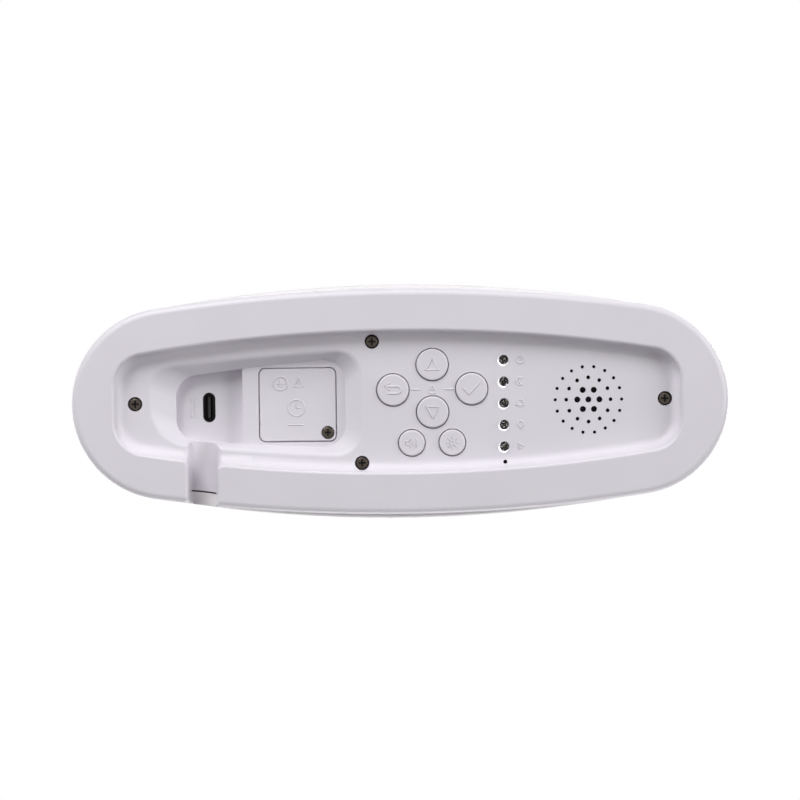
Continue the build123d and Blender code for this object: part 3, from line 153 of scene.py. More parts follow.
def add_node(tree, kind, settings=(), links=()):
    """Add a node. Settings name properties or inputs, links name inputs and their sockets."""
    added = tree.nodes.new(kind)
    for key, value in dict(settings).items():
        if isinstance(key, int) or key in added.inputs:
            added.inputs[key].default_value = value
        else:
            setattr(added, key, value)
    for key, socket in dict(links).items():
        tree.links.new(socket, added.inputs[key])
    return added


def new_material(name, colour, roughness, **shader_values):
    """Material with one shader. The values keep its sockets' names, with _ for a space."""
    material = bpy.data.materials.new(name)
    material.use_nodes = True
    shader = material.node_tree.nodes["Principled BSDF"]
    shader.inputs["Base Color"].default_value = colour
    shader.inputs["Roughness"].default_value = roughness
    for key, value in shader_values.items():
        shader.inputs[key.replace("_", " ")].default_value = value
    return material


def object_place(material, centre=None):
    """Object coordinates in a material, measured from a centre if one is given."""
    tree = material.node_tree
    place = add_node(tree, "ShaderNodeTexCoord").outputs["Object"]
    if centre is None:
        return place
    return add_node(tree, "ShaderNodeMapping", {"Location": -centre},
                    {"Vector": place}).outputs["Vector"]


def pattern(material, kind, size, settings=(), centre=None):
    """Grey value of a texture whose features have a real size, in metres."""
    texture = add_node(material.node_tree, kind, {"Scale": 1 / size, **dict(settings)},
                       {"Vector": object_place(material, centre)})
    return next(socket for socket in texture.outputs if socket.name in ("Fac", "Distance"))


def apply_pattern(material, source, tones=None, roughness=None, depth=None):
    """Let a pattern drive the colour between two tones, the roughness and the relief."""
    tree = material.node_tree
    shader = tree.nodes["Principled BSDF"]
    if tones:
        ramp = add_node(tree, "ShaderNodeValToRGB", links={"Fac": source})
        for element, tone in zip(ramp.color_ramp.elements, tones):
            element.color = tone
        for element, position in zip(ramp.color_ramp.elements, TONE_SPAN):
            element.position = position
        tree.links.new(ramp.outputs["Color"], shader.inputs["Base Color"])
    if roughness:
        spread = add_node(tree, "ShaderNodeMapRange",
                          {"To Min": roughness[0], "To Max": roughness[1]}, {"Value": source})
        tree.links.new(spread.outputs["Result"], shader.inputs["Roughness"])
    if depth:
        relief = add_node(tree, "ShaderNodeBump", {"Distance": depth}, {"Height": source})
        if shader.inputs["Normal"].is_linked:
            earlier = shader.inputs["Normal"].links[0].from_socket
            tree.links.new(earlier, relief.inputs["Normal"])
        tree.links.new(relief.outputs["Normal"], shader.inputs["Normal"])
    return material


def shade(colour, factor):
    """A colour made lighter or darker."""
    return (*(min(1.0, c * factor) for c in colour[:3]), 1.0)


def moulded_abs(name, colour, roughness):
    """Moulded ABS: an even colour, a faint slow mottling from the flow and a fine matt grain."""
    finish = bpy.context.scene.clock_finish
    spread = 0.05
    material = new_material(name, colour, roughness, IOR=1.53)
    flow = pattern(material, "ShaderNodeTexNoise", 22 * MM, {"Detail": 2.0})
    apply_pattern(material, flow, tones=(shade(colour, 0.975), shade(colour, 1.015)),
                  roughness=(roughness - spread, roughness + spread))
    # the real grain is about 0.1 mm and is drawn coarser, so that it shows
    grain = pattern(material, "ShaderNodeTexNoise", finish.grain,
                    {"Detail": 3.0, "Roughness": 0.6})
    return apply_pattern(material, grain, depth=finish.grain_depth)


def base_abs():
    """Cool white ABS of the base and the door, matt from a spark-eroded tool."""
    return moulded_abs("cool_white_abs", bpy.context.scene.clock_finish.base, 0.46)


def key_abs():
    """The same ABS on the keys, a little smoother where fingers rub it."""
    return moulded_abs("key_abs", bpy.context.scene.clock_finish.base, 0.38)


def shell_abs():
    """White ABS of the shells, without the base's cool cast, matt."""
    return moulded_abs("white_abs", bpy.context.scene.clock_finish.shell, 0.55)


def opal_polycarbonate():
    """Opal polycarbonate: milky, a little light goes in and spreads."""
    colour = bpy.context.scene.clock_finish.band
    material = new_material("opal_polycarbonate", colour, 0.32, IOR=1.58, Subsurface_Weight=0.4,
                            Subsurface_Scale=2.5 * MM)
    haze = pattern(material, "ShaderNodeTexNoise", 9 * MM, {"Detail": 2.0})
    return apply_pattern(material, haze, tones=(shade(colour, 0.97), colour),
                         roughness=(0.28, 0.36), depth=0.004 * MM)


def smoked_acrylic():
    """Smoked acrylic, polished: clear and dark, with a hard gloss."""
    material = new_material("smoked_acrylic", bpy.context.scene.clock_finish.window, 0.03,
                            IOR=1.49, Transmission_Weight=1.0)
    haze = pattern(material, "ShaderNodeTexNoise", 14 * MM, {"Detail": 2.0})
    return apply_pattern(material, haze, roughness=(0.02, 0.05))


def screen_ink():
    """Black screen-printing ink on film: flat, with the mesh's faint dots, drawn coarse."""
    ink = linear("#0C0C0E")
    material = new_material("screen_ink", ink, 0.7)
    dots = pattern(material, "ShaderNodeTexVoronoi", 0.5 * MM)
    return apply_pattern(material, dots, tones=(shade(ink, 0.8), shade(ink, 1.3)),
                         roughness=(0.62, 0.78))


def black_oxide_steel(node):
    """Black oxide on a node's screws: brown-grey on the heads' faces, turning black deeper in
    their crosses as painted shade.
    """
    colour = bpy.context.scene.clock_finish.screw
    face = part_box(node)[0].z
    painted_shade_depth = 0.5 * MM
    material = new_material("black_oxide_steel_" + node, colour, 0.3, Metallic=0.85)
    tree = material.node_tree
    place = add_node(tree, "ShaderNodeSeparateXYZ", links={"Vector": object_place(material)})
    # painted shade: the colour turns from brown-grey on the face to black deeper in the crosses
    depth = add_node(tree, "ShaderNodeMapRange",
                     {"From Min": face, "From Max": face + painted_shade_depth},
                     {"Value": place.outputs["Z"]})
    apply_pattern(material, depth.outputs["Result"], tones=(linear("#4C453F"), colour))
    rub = pattern(material, "ShaderNodeTexNoise", 0.9 * MM, {"Detail": 5.0, "Roughness": 0.65})
    return apply_pattern(material, rub, roughness=(0.2, 0.42), depth=0.03 * MM)


def zinc_plated_steel():
    """Zinc plate: bright grey with soft spangles."""
    zinc = linear("#B9BCC0")
    material = new_material("zinc_plated_steel", zinc, 0.3, Metallic=1.0)
    spangle = pattern(material, "ShaderNodeTexVoronoi", 0.8 * MM)
    return apply_pattern(material, spangle, tones=(shade(zinc, 0.85), zinc),
                         roughness=(0.25, 0.42))


def nickel_plated_steel():
    """Nickel plate on spring steel: smooth, a touch warm, with drawing lines, drawn coarse."""
    nickel = linear("#C9C4BA")
    material = new_material("nickel_plated_steel", nickel, 0.22, Metallic=1.0)
    lines = pattern(material, "ShaderNodeTexWave", 0.3 * MM, {"Distortion": 1.5, "Detail": 2.0})
    return apply_pattern(material, lines, tones=(shade(nickel, 0.9), nickel),
                         roughness=(0.16, 0.3))


def black_nickel():
    """Nickel plate of the socket's shell, smooth, coloured dark as painted shade of the deep slot,
    so that the slot reads black.
    """
    # painted shade: the plate's colour is set dark for the shade inside the slot
    nickel = linear("#232122")
    material = new_material("black_nickel", nickel, 0.3, Metallic=1.0)
    worn = pattern(material, "ShaderNodeTexNoise", 1.1 * MM, {"Detail": 3.0})
    return apply_pattern(material, worn, tones=(shade(nickel, 0.7), shade(nickel, 1.3)),
                         roughness=(0.24, 0.4))


def cell_can_steel():
    """Stainless can of a coin cell: spun rings round its middle and a soft polish."""
    steel = linear("#CDCED0")
    material = new_material("cell_can_steel", steel, 0.24, Metallic=1.0)
    rings = pattern(material, "ShaderNodeTexWave", 0.5 * MM,
                    {"wave_type": "RINGS", "rings_direction": "Z", "Distortion": 0.3},
                    middle("coin_cell"))
    return apply_pattern(material, rings, tones=(shade(steel, 0.88), steel),
                         roughness=(0.18, 0.32))


def clear_epoxy():
    """Water-clear cast epoxy of the lamps: like glass, a trace of ripple, a weak reflection."""
    material = new_material("clear_epoxy", linear("#F6F6F7"), 0.03, IOR=1.36,
                            Transmission_Weight=1.0)
    ripple = pattern(material, "ShaderNodeTexNoise", 1.2 * MM, {"Detail": 1.0})
    return apply_pattern(material, ripple, roughness=(0.02, 0.06), depth=0.01 * MM)


def silvered_frame():
    """Silvered lead frame of a lamp, painted black for the dark reflection it shows, with a few
    silver spots as painted reflections that the dome enlarges.
    """
    silver = linear("#9A9998")
    material = new_material("silvered_frame", silver, 0.2, Metallic=1.0)
    painted_reflection_noise = pattern(material, "ShaderNodeTexNoise", 0.55 * MM, {"Detail": 1.0})
    painted_reflection_spots = add_node(material.node_tree, "ShaderNodeMapRange",
                     {"From Min": 0.52, "From Max": 0.74}, {"Value": painted_reflection_noise})
    # painted reflection: the frame is mostly painted black, with silver spots
    return apply_pattern(material, painted_reflection_spots.outputs["Result"], tones=(shade(silver, 0.01), silver),
                         roughness=(0.12, 0.32))


def lamp_die():
    """Light-giving die under its yellow phosphor."""
    phosphor = linear("#E8C85A")
    material = new_material("lamp_phosphor", phosphor, 0.5)
    grains = pattern(material, "ShaderNodeTexVoronoi", 0.12 * MM)
    return apply_pattern(material, grains, tones=(shade(phosphor, 0.8), phosphor),
                         depth=0.01 * MM)


def black_pbt(name="black_pbt", hex_colour="#232326"):
    """Glass-filled black PBT of switches and small mouldings: dull, with flow marks."""
    black = linear(hex_colour)
    material = new_material(name, black, 0.55)
    marks = pattern(material, "ShaderNodeTexNoise", 1.5 * MM, {"Detail": 3.0})
    return apply_pattern(material, marks, tones=(shade(black, 0.8), shade(black, 1.25)),
                         roughness=(0.45, 0.65), depth=0.008 * MM)


def green_board():
    """Green solder mask over copper tracks: glossy, with raised lines."""
    green = linear("#1C6B3A")
    material = new_material("green_solder_mask", green, 0.28)
    tracks = pattern(material, "ShaderNodeTexBrick", 1.6 * MM,
                     {"Color1": (1, 1, 1, 1), "Color2": (0.7, 0.7, 0.7, 1),
                      "Mortar": (0, 0, 0, 1), "Mortar Size": 0.08})
    return apply_pattern(material, tracks, tones=(green, shade(green, 0.6)),
                         roughness=(0.24, 0.36), depth=0.02 * MM)


def white_board():
    """White solder mask of the light board, which throws stray light back."""
    white = linear("#E6E6E2")
    material = new_material("white_solder_mask", white, 0.3)
    tracks = pattern(material, "ShaderNodeTexBrick", 2.4 * MM, {"Mortar Size": 0.06})
    return apply_pattern(material, tracks, tones=(white, shade(white, 0.85)), depth=0.02 * MM)


def chip_epoxy():
    """Black moulding compound of the chips: matt, with a filler grain, drawn coarse to show."""
    black = linear("#1A1A1C")
    material = new_material("chip_epoxy", black, 0.6)
    filler = pattern(material, "ShaderNodeTexNoise", 0.2 * MM, {"Detail": 4.0})
    return apply_pattern(material, filler, tones=(black, shade(black, 1.5)), depth=0.01 * MM)


def connector_nylon():
    """Natural nylon of the plugs and sockets: cream, waxy and a little see-through."""
    cream = linear("#DFD8C8")
    material = new_material("connector_nylon", cream, 0.42, Subsurface_Weight=0.15,
                            Subsurface_Scale=1 * MM)
    cloud = pattern(material, "ShaderNodeTexNoise", 4 * MM, {"Detail": 2.0})
    return apply_pattern(material, cloud, tones=(shade(cream, 0.92), cream),
                         roughness=(0.36, 0.5))


def reflector_white():
    """Bright white polycarbonate of the trough, smooth so that it reflects."""
    white = linear("#F0F0EE")
    material = new_material("reflector_white", white, 0.25)
    flow = pattern(material, "ShaderNodeTexNoise", 12 * MM, {"Detail": 2.0})
    return apply_pattern(material, flow, tones=(shade(white, 0.95), white),
                         roughness=(0.2, 0.32))


def display_plastic():
    """Black housing of the display, lightly textured."""
    black = linear("#0E0E10")
    material = new_material("display_plastic", black, 0.5)
    grain = pattern(material, "ShaderNodeTexNoise", 0.4 * MM, {"Detail": 3.0})
    return apply_pattern(material, grain, tones=(black, shade(black, 1.6)), depth=0.008 * MM)


def lit_bar():
    """Lit bars of the display: warm light through a milky face."""
    light = bpy.context.scene.clock_finish.digits
    material = new_material("lit_bar", light, 0.4, Emission_Color=light, Emission_Strength=5.0)
    haze = pattern(material, "ShaderNodeTexNoise", 0.8 * MM, {"Detail": 1.0})
    return apply_pattern(material, haze, roughness=(0.35, 0.5))


def grille_cloth():
    """Plain woven polyester behind the grille: black 0.3 mm threads, over and under."""
    black, thread = linear("#1C1C1E"), 0.3 * MM
    material = new_material("grille_cloth", black, 0.85, Sheen_Weight=0.3, Sheen_Roughness=0.5)
    weave = pattern(material, "ShaderNodeTexChecker", thread)
    threads = pattern(material, "ShaderNodeTexWave", thread, {"bands_direction": "DIAGONAL"})
    apply_pattern(material, weave, tones=(shade(black, 0.6), shade(black, 1.5)))
    return apply_pattern(material, threads, depth=0.05 * MM)


def cone_paper():
    """Pressed paper pulp of the speaker's cone, dark and fibrous."""
    grey = linear("#2B2A29")
    material = new_material("cone_paper", grey, 0.9)
    fibres = pattern(material, "ShaderNodeTexNoise", 0.5 * MM,
                     {"Detail": 6.0, "Roughness": 0.7})
    return apply_pattern(material, fibres, tones=(shade(grey, 0.7), shade(grey, 1.4)),
                         depth=0.03 * MM)


def open_foam():
    """Black open-cell foam: pores of about half a millimetre."""
    black = linear("#1E1E20")
    material = new_material("open_foam", black, 0.95)
    pores = pattern(material, "ShaderNodeTexVoronoi", 0.5 * MM)
    return apply_pattern(material, pores, tones=(shade(black, 0.4), shade(black, 1.5)),
                         depth=0.12 * MM)


def coated_steel():
    """Black electrophoretic coat on the pressed basket: even and satin."""
    black = linear("#2A2A2C")
    material = new_material("coated_steel", black, 0.4, Metallic=0.3)
    orange_peel = pattern(material, "ShaderNodeTexNoise", 0.7 * MM, {"Detail": 2.0})
    return apply_pattern(material, orange_peel, tones=(black, shade(black, 1.3)),
                         roughness=(0.34, 0.48), depth=0.01 * MM)


def magnet_steel():
    """Zinc-coated magnet cup: grey metal with turning rings."""
    grey = linear("#A4A5A8")
    material = new_material("magnet_steel", grey, 0.35, Metallic=1.0)
    rings = pattern(material, "ShaderNodeTexWave", 0.6 * MM,
                    {"wave_type": "RINGS", "rings_direction": "Z"}, middle("speaker_magnet"))
    return apply_pattern(material, rings, tones=(shade(grey, 0.8), grey),
                         roughness=(0.28, 0.45))


def enamelled_copper():
    """Enamelled copper wire of the coil: reddish, in close turns of 0.25 mm."""
    copper = linear("#B5643A")
    material = new_material("enamelled_copper", copper, 0.25, Metallic=1.0)
    turns = pattern(material, "ShaderNodeTexWave", 0.25 * MM, {"bands_direction": "Z"})
    return apply_pattern(material, turns, tones=(shade(copper, 0.6), copper), depth=0.05 * MM)


def wire_pvc():
    """Black PVC wire jacket: smooth and faintly mottled by the extruder."""
    black = linear("#1D1D1F")
    material = new_material("wire_pvc", black, 0.4)
    mottling = pattern(material, "ShaderNodeTexNoise", 1 * MM, {"Detail": 2.0})
    return apply_pattern(material, mottling, tones=(black, shade(black, 1.4)),
                         roughness=(0.34, 0.5))


def ribbon_pvc():
    """Grey PVC ribbon: ribs at the conductors' pitch of 1 mm."""
    grey = linear("#B4B4B2")
    material = new_material("ribbon_pvc", grey, 0.45)
    ribs = pattern(material, "ShaderNodeTexWave", 1 * MM, {"bands_direction": "X"})
    return apply_pattern(material, ribs, tones=(shade(grey, 0.8), grey), depth=0.08 * MM)


def dress(names, material):
    """Give CAD nodes a material in place of their plain one."""
    for name in names:
        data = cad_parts[name].data
        data.materials.clear()
        data.materials.append(material)


def finish_mesh(mesh, name, body):
    """Object for a finished mesh, riding on a body."""
    piece = add_object(name, mesh)
    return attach(piece, body)


# Signs are lists of strokes, in mm to the right and to the front of the sign's centre.


def arc(centre, radius, start, end, steps=10):
    """Points of an arc between two angles in degrees."""
    angles = [math.radians(start + (end - start) * i / steps) for i in range(steps + 1)]
    return [(centre[0] + radius * math.cos(a), centre[1] + radius * math.sin(a))
            for a in angles]


def ring(radius):
    """Closed circle round the middle."""
    return arc((0, 0), radius, 0, 360, 20)


def triangle_sign(turn):
    """Outlined triangle that points to the front or, turned, to the rear."""
    signs = bpy.context.scene.clock_signs
    half, rise = signs.arrow_width / 2 / MM, signs.arrow_height / MM
    low, high = -0.46 * rise, 0.54 * rise
    return [[(-half, turn * low), (half, turn * low), (0, turn * high), (-half, turn * low)]]


def back_sign():
    """Arrow that runs back to the left after a half turn."""
    bend, left, right = 1.15, -2.4, 1.3
    shaft = [(left, bend)] + arc((right, 0), bend, 90, -90) + [(left + 0.9, -bend)]
    head = [(left + 1.1, bend + 1.05), (left, bend), (left + 1.1, bend - 1.05)]
    return [shaft, head]


def check_sign():
    """Check mark."""
    return [[(-2.5, 0.1), (-0.85, -1.75), (2.5, 2.0)]]


def speaker_sign():
    """Loudspeaker with two waves."""
    horn = [(-1.85, 0.55), (-1.2, 0.55), (-0.25, 1.4), (-0.25, -1.4), (-1.2, -0.55),
            (-1.85, -0.55), (-1.85, 0.55)]
    return [horn] + [arc((-0.1, 0), radius, -42, 42) for radius in (0.95, 1.75)]


def sun_sign(disc=0.65, inner=1.1, outer=1.95, rays=8):
    """Disc with rays."""
    strokes = [ring(disc)]
    for i in range(rays):
        c, s = math.cos(math.tau * i / rays), math.sin(math.tau * i / rays)
        strokes.append([(inner * c, inner * s), (outer * c, outer * s)])
    return strokes


def padlock_sign():
    """Small closed padlock."""
    body = [(-0.9, -1.2), (0.9, -1.2), (0.9, 0.1), (-0.9, 0.1), (-0.9, -1.2)]
    return [body, [(-0.55, 0.1)] + arc((0, 0.5), 0.55, 180, 0, 8) + [(0.55, 0.1)]]


def dial_sign(radius):
    """Clock face with two hands."""
    return [ring(radius), [(0, radius * 0.6), (0, 0), (radius * 0.45, 0)]]


def moon_sign(radius):
    """Crescent."""
    outer = arc((0, 0), radius, 60, 300, 16)
    inner = arc((radius * 0.62, 0), radius * 0.88, 262, 98, 12)
    return [outer + inner + outer[:1]]


def bell_sign(radius):
    """Alarm bell."""
    low = -0.55 * radius
    dome = [(-radius, low), (-0.62 * radius, 0)] \
        + arc((0, 0.25 * radius), 0.62 * radius, 180, 0, 8) \
        + [(0.62 * radius, 0), (radius, low), (-radius, low)]
    return [dome, arc((0, -0.7 * radius), 0.3 * radius, 200, 340, 5)]


def bulb_sign(radius):
    """Night light bulb."""
    left, right = (-0.3 * radius, -0.6 * radius), (0.3 * radius, -0.6 * radius)
    glass = [left] + arc((0, 0.2 * radius), 0.72 * radius, 235, -55, 14) + [right, left]
    return [glass, [(-0.25 * radius, -radius), (0.25 * radius, -radius)]]


def play_sign(radius):
    """Outlined arrow head that points to the right."""
    start = (-0.6 * radius, 0.8 * radius)
    return [[start, (0.8 * radius, 0), (start[0], -start[1]), start]]


def plus_sign(radius):
    """Plus in a ring, for the cell's upper face."""
    half = 0.5 * radius
    return [ring(radius), [(-half, 0), (half, 0)], [(0, -half), (0, half)]]


def warning_sign(radius):
    """Triangle with a bar and a dot."""
    low = -0.75 * radius
    edge = [(-radius, low), (radius, low), (0, radius), (-radius, low)]
    bar = [(0, 0.35 * radius), (0, -0.15 * radius)]
    return [edge, bar, [(0, -0.45 * radius), (0, -0.47 * radius)]]


def direct_current_sign(half):
    """Upright line beside three upright dashes, the sign for direct current."""
    dashes = [[(-0.5, y - 0.2 * half), (-0.5, y + 0.2 * half)]
              for y in (-0.8 * half, 0, 0.8 * half)]
    return [[(0.5, -half), (0.5, half)]] + dashes


def new_tree(name, inputs):
    """Geometry node tree with named inputs, a finish among them, and what its input node gives."""
    tree = bpy.data.node_groups.new(name, "GeometryNodeTree")
    for title, kind in {"Geometry": "Geometry", **inputs, "Finish": "Material"}.items():
        tree.interface.new_socket(title, in_out="INPUT", socket_type="NodeSocket" + kind)
    tree.interface.new_socket("Geometry", in_out="OUTPUT", socket_type="NodeSocketGeometry")
    return tree, add_node(tree, "NodeGroupInput").outputs


def end_tree(tree, geometry, finish):
    """Give a tree's geometry its finish and hand it out."""
    coated = add_node(tree, "GeometryNodeSetMaterial",
                      links={"Geometry": geometry, "Material": finish})
    add_node(tree, "NodeGroupOutput", links={"Geometry": coated.outputs[0]})


def raised_stroke_tree():
    """Round stroke along curves, with a ball at each point, flattened towards a level."""
    tree, given = new_tree("raised_stroke", {"Stroke width": "Float", "Flatness": "Float",
                                             "Surface level": "Float"})
    radius = add_node(tree, "ShaderNodeMath", {"operation": "MULTIPLY", 1: 0.5},
                      {0: given["Stroke width"]}).outputs[0]
    profile = add_node(tree, "GeometryNodeCurvePrimitiveCircle", {"Resolution": STROKE_SIDES},
                       {"Radius": radius})
    tube = add_node(tree, "GeometryNodeCurveToMesh", {"Fill Caps": True},
                    {"Curve": given["Geometry"], "Profile Curve": profile.outputs["Curve"]})
    ball = add_node(tree, "GeometryNodeMeshUVSphere",
                    {"Segments": STROKE_SIDES, "Rings": STROKE_SIDES // 2}, {"Radius": radius})
    balls = add_node(tree, "GeometryNodeInstanceOnPoints",
                     links={"Points": given["Geometry"], "Instance": ball.outputs["Mesh"]})
    both = add_node(tree, "GeometryNodeJoinGeometry", links={"Geometry": tube.outputs["Mesh"]})
    tree.links.new(balls.outputs["Instances"], both.inputs["Geometry"])
    solid = add_node(tree, "GeometryNodeRealizeInstances", links={"Geometry": both.outputs[0]})
    place = add_node(tree, "GeometryNodeInputPosition").outputs[0]
    parts = add_node(tree, "ShaderNodeSeparateXYZ", links={"Vector": place}).outputs
    lift = add_node(tree, "ShaderNodeMath", {"operation": "SUBTRACT"},
                    {0: parts["Z"], 1: given["Surface level"]}).outputs[0]
    flat = add_node(tree, "ShaderNodeMath", {"operation": "MULTIPLY_ADD"},
                    {0: lift, 1: given["Flatness"], 2: given["Surface level"]}).outputs[0]
    pressed = add_node(tree, "ShaderNodeCombineXYZ",
                       links={"X": parts["X"], "Y": parts["Y"], "Z": flat})
    moved = add_node(tree, "GeometryNodeSetPosition",
                     links={"Geometry": solid.outputs[0], "Position": pressed.outputs[0]})
    smooth = add_node(tree, "GeometryNodeSetShadeSmooth", links={"Geometry": moved.outputs[0]})
    end_tree(tree, smooth.outputs[0], given["Finish"])


def placed_copies_tree():
    """Copies of one object on a piece's points, each turned by its own fixed chance angle."""
    tree, given = new_tree("placed_copies", {"Copied piece": "Object", "Largest turn": "Float"})
    model = add_node(tree, "GeometryNodeObjectInfo", links={"Object": given["Copied piece"]})
    chance = add_node(tree, "FunctionNodeRandomValue", {"data_type": "FLOAT", "Seed": TURN_SEED},
                      {3: given["Largest turn"]})
    turn = add_node(tree, "ShaderNodeCombineXYZ", links={"Z": chance.outputs[1]})
    copies = add_node(tree, "GeometryNodeInstanceOnPoints",
                      links={"Points": given["Geometry"], "Instance": model.outputs["Geometry"],
                             "Rotation": turn.outputs[0]})
    solid = add_node(tree, "GeometryNodeRealizeInstances", links={"Geometry": copies.outputs[0]})
    end_tree(tree, solid.outputs[0], given["Finish"])


def grown_mesh(source, tree_name, name, **inputs):
    """Plain mesh of what a node tree makes from an object, which is then removed."""
    modifier = source.modifiers.new(name, "NODES")
    modifier.node_group = bpy.data.node_groups[tree_name]
    for item in modifier.node_group.interface.items_tree:
        key = item.name.replace(" ", "_").lower()
        if item.in_out == "INPUT" and key in inputs:
            modifier[item.identifier] = inputs[key]
    bpy.context.view_layer.update()
    evaluated = source.evaluated_get(bpy.context.evaluated_depsgraph_get())
    mesh = bpy.data.meshes.new_from_object(evaluated)
    mesh.name = name
    source.modifiers.remove(modifier)
    bpy.data.objects.remove(source)
    return mesh


def raised_sign(name, strokes, centre, level, width, body, slot, material):
    """Raised strokes on a face that looks down, round a centre."""
    height = bpy.context.scene.clock_signs.height
    curve = bpy.data.curves.new(name, "CURVE")
    curve.dimensions = "3D"
    for stroke in strokes:
        spline = curve.splines.new("POLY")
        spline.points.add(len(stroke) - 1)
        for point, (u, v) in zip(spline.points, stroke):
            point.co = (centre[0] + u * MM, centre[1] - v * MM, level, 1.0)
    mesh = grown_mesh(add_object(name + "_path", curve), "raised_stroke", name,
                      stroke_width=width, flatness=2 * height / width, surface_level=level,
                      finish=material)
    finish_mesh(mesh, name, body)


def lathe(name, profile, steps=32):
    """Mesh of revolution about Z from points of radius and height, closed at its poles."""
    shape = bmesh.new()
    points = [shape.verts.new((radius, 0, height)) for radius, height in profile]
    edges = [shape.edges.new(pair) for pair in zip(points, points[1:])]
    bmesh.ops.spin(shape, geom=points + edges, axis=(0, 0, 1), cent=(0, 0, 0), steps=steps,
                   angle=math.tau, use_merge=True)
    bmesh.ops.remove_doubles(shape, verts=shape.verts, dist=0.001 * MM)
    bmesh.ops.recalc_face_normals(shape, faces=shape.faces)
    for face in shape.faces:
        face.smooth = True
    mesh = bpy.data.meshes.new(name)
    shape.to_mesh(mesh)
    shape.free()
    return mesh


def lamp_places():
    """Tips of the indicator lamps' domes, from the box round their column."""
    low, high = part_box("indicator_lamps")
    flange, count = (high.x - low.x) / 2, bpy.context.scene.clock_lamps.count
    pitch = (high.y - low.y - 2 * flange) / (count - 1)
    return [Vector((low.x + flange, low.y + flange + pitch * i, low.z)) for i in range(count)]


class CLOCK_OT_trees(bpy.types.Operator):
    """Make the node trees that grow raised strokes and placed copies"""
    bl_idname = "clock.trees"
    bl_label = "Node trees"

    def execute(self, context):
        raised_stroke_tree()
        placed_copies_tree()
        return {"FINISHED"}


class CLOCK_OT_base(bpy.types.Operator):
    """Finish the base housing and the battery door"""
    bl_idname = "clock.base"
    bl_label = "Base and door"

    def execute(self, context):
        dress(["base_housing", "battery_door"], base_abs())
        return {"FINISHED"}


class CLOCK_OT_keys(bpy.types.Operator):
    """Finish the keys and raise their signs"""
    bl_idname = "clock.keys"
    bl_label = "Keys"

    def execute(self, context):
        signs = context.scene.clock_signs
        material = key_abs()
        dress(["button_" + key for key in KEYS], material)
        drawings = {
            "up": (triangle_sign(1), signs.stroke),
            "back": (back_sign(), signs.stroke),
            "check": (check_sign(), signs.stroke),
            "down": (triangle_sign(-1), signs.stroke),
            "volume": (speaker_sign(), signs.fine_stroke),
            "brightness": (sun_sign(), signs.fine_stroke),
        }
        for key, (strokes, width) in drawings.items():
            cap = "button_" + key
            raised_sign(f"key_sign_{key}", strokes, middle(cap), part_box(cap)[0].z, width,
                        "key_" + key, "button_plastic", material)
        return {"FINISHED"}


class CLOCK_OT_panel_marks(bpy.types.Operator):
    """Raise the marks on the control panel, the door and the socket's floor"""
    bl_idname = "clock.panel_marks"
    bl_label = "Panel marks"

    def execute(self, context):
        signs = context.scene.clock_signs
        finish = ("base_plastic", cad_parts["base_housing"].data.materials[0])
        width = signs.fine_stroke
        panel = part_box("button_up")[0].z + KEY_RISE
        lock = (middle("button_back") + middle("button_check")) / 2
        near, far = 4.0, 6.6
        lines = [[(-far, 0), (-near, 0)], [(near, 0), (far, 0)]]
        raised_sign("hold_mark", lines + padlock_sign(), lock, panel, width, "housing", *finish)

        radius = signs.lamp_sign / MM
        drawings = (dial_sign(radius), moon_sign(radius), bell_sign(radius), bulb_sign(radius),
                    play_sign(radius))
        for i, (strokes, lamp) in enumerate(zip(drawings, lamp_places())):
            raised_sign(f"lamp_sign_{i + 1}", strokes, (lamp.x + signs.lamp_sign_gap, lamp.y),
                        panel, width, "housing", *finish)

        # each door sign with its place, in mm to the right and to the rear of the door's middle
        bar = [[(-2.4, 0), (2.4, 0)]]
        door_signs = ((plus_sign(2.2), -5.4, -6.8), (warning_sign(1.6), 0.4, -7.0),
                      (dial_sign(2.6), -0.4, 1.0), (bar, -0.6, 6.4))
        door, face = middle("battery_door"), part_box("battery_door")[0].z
        for i, (strokes, right, rear) in enumerate(door_signs):
            place = (door.x + right * MM, door.y + rear * MM)
            raised_sign(f"door_sign_{i + 1}", strokes, place, face, width, "door", *finish)

        socket, socket_gap = middle("usb_socket"), 5.0 * MM
        raised_sign("socket_sign", direct_current_sign(3.0), (socket.x - socket_gap, socket.y),
                    signs.socket_level, width, "housing", *finish)
        return {"FINISHED"}


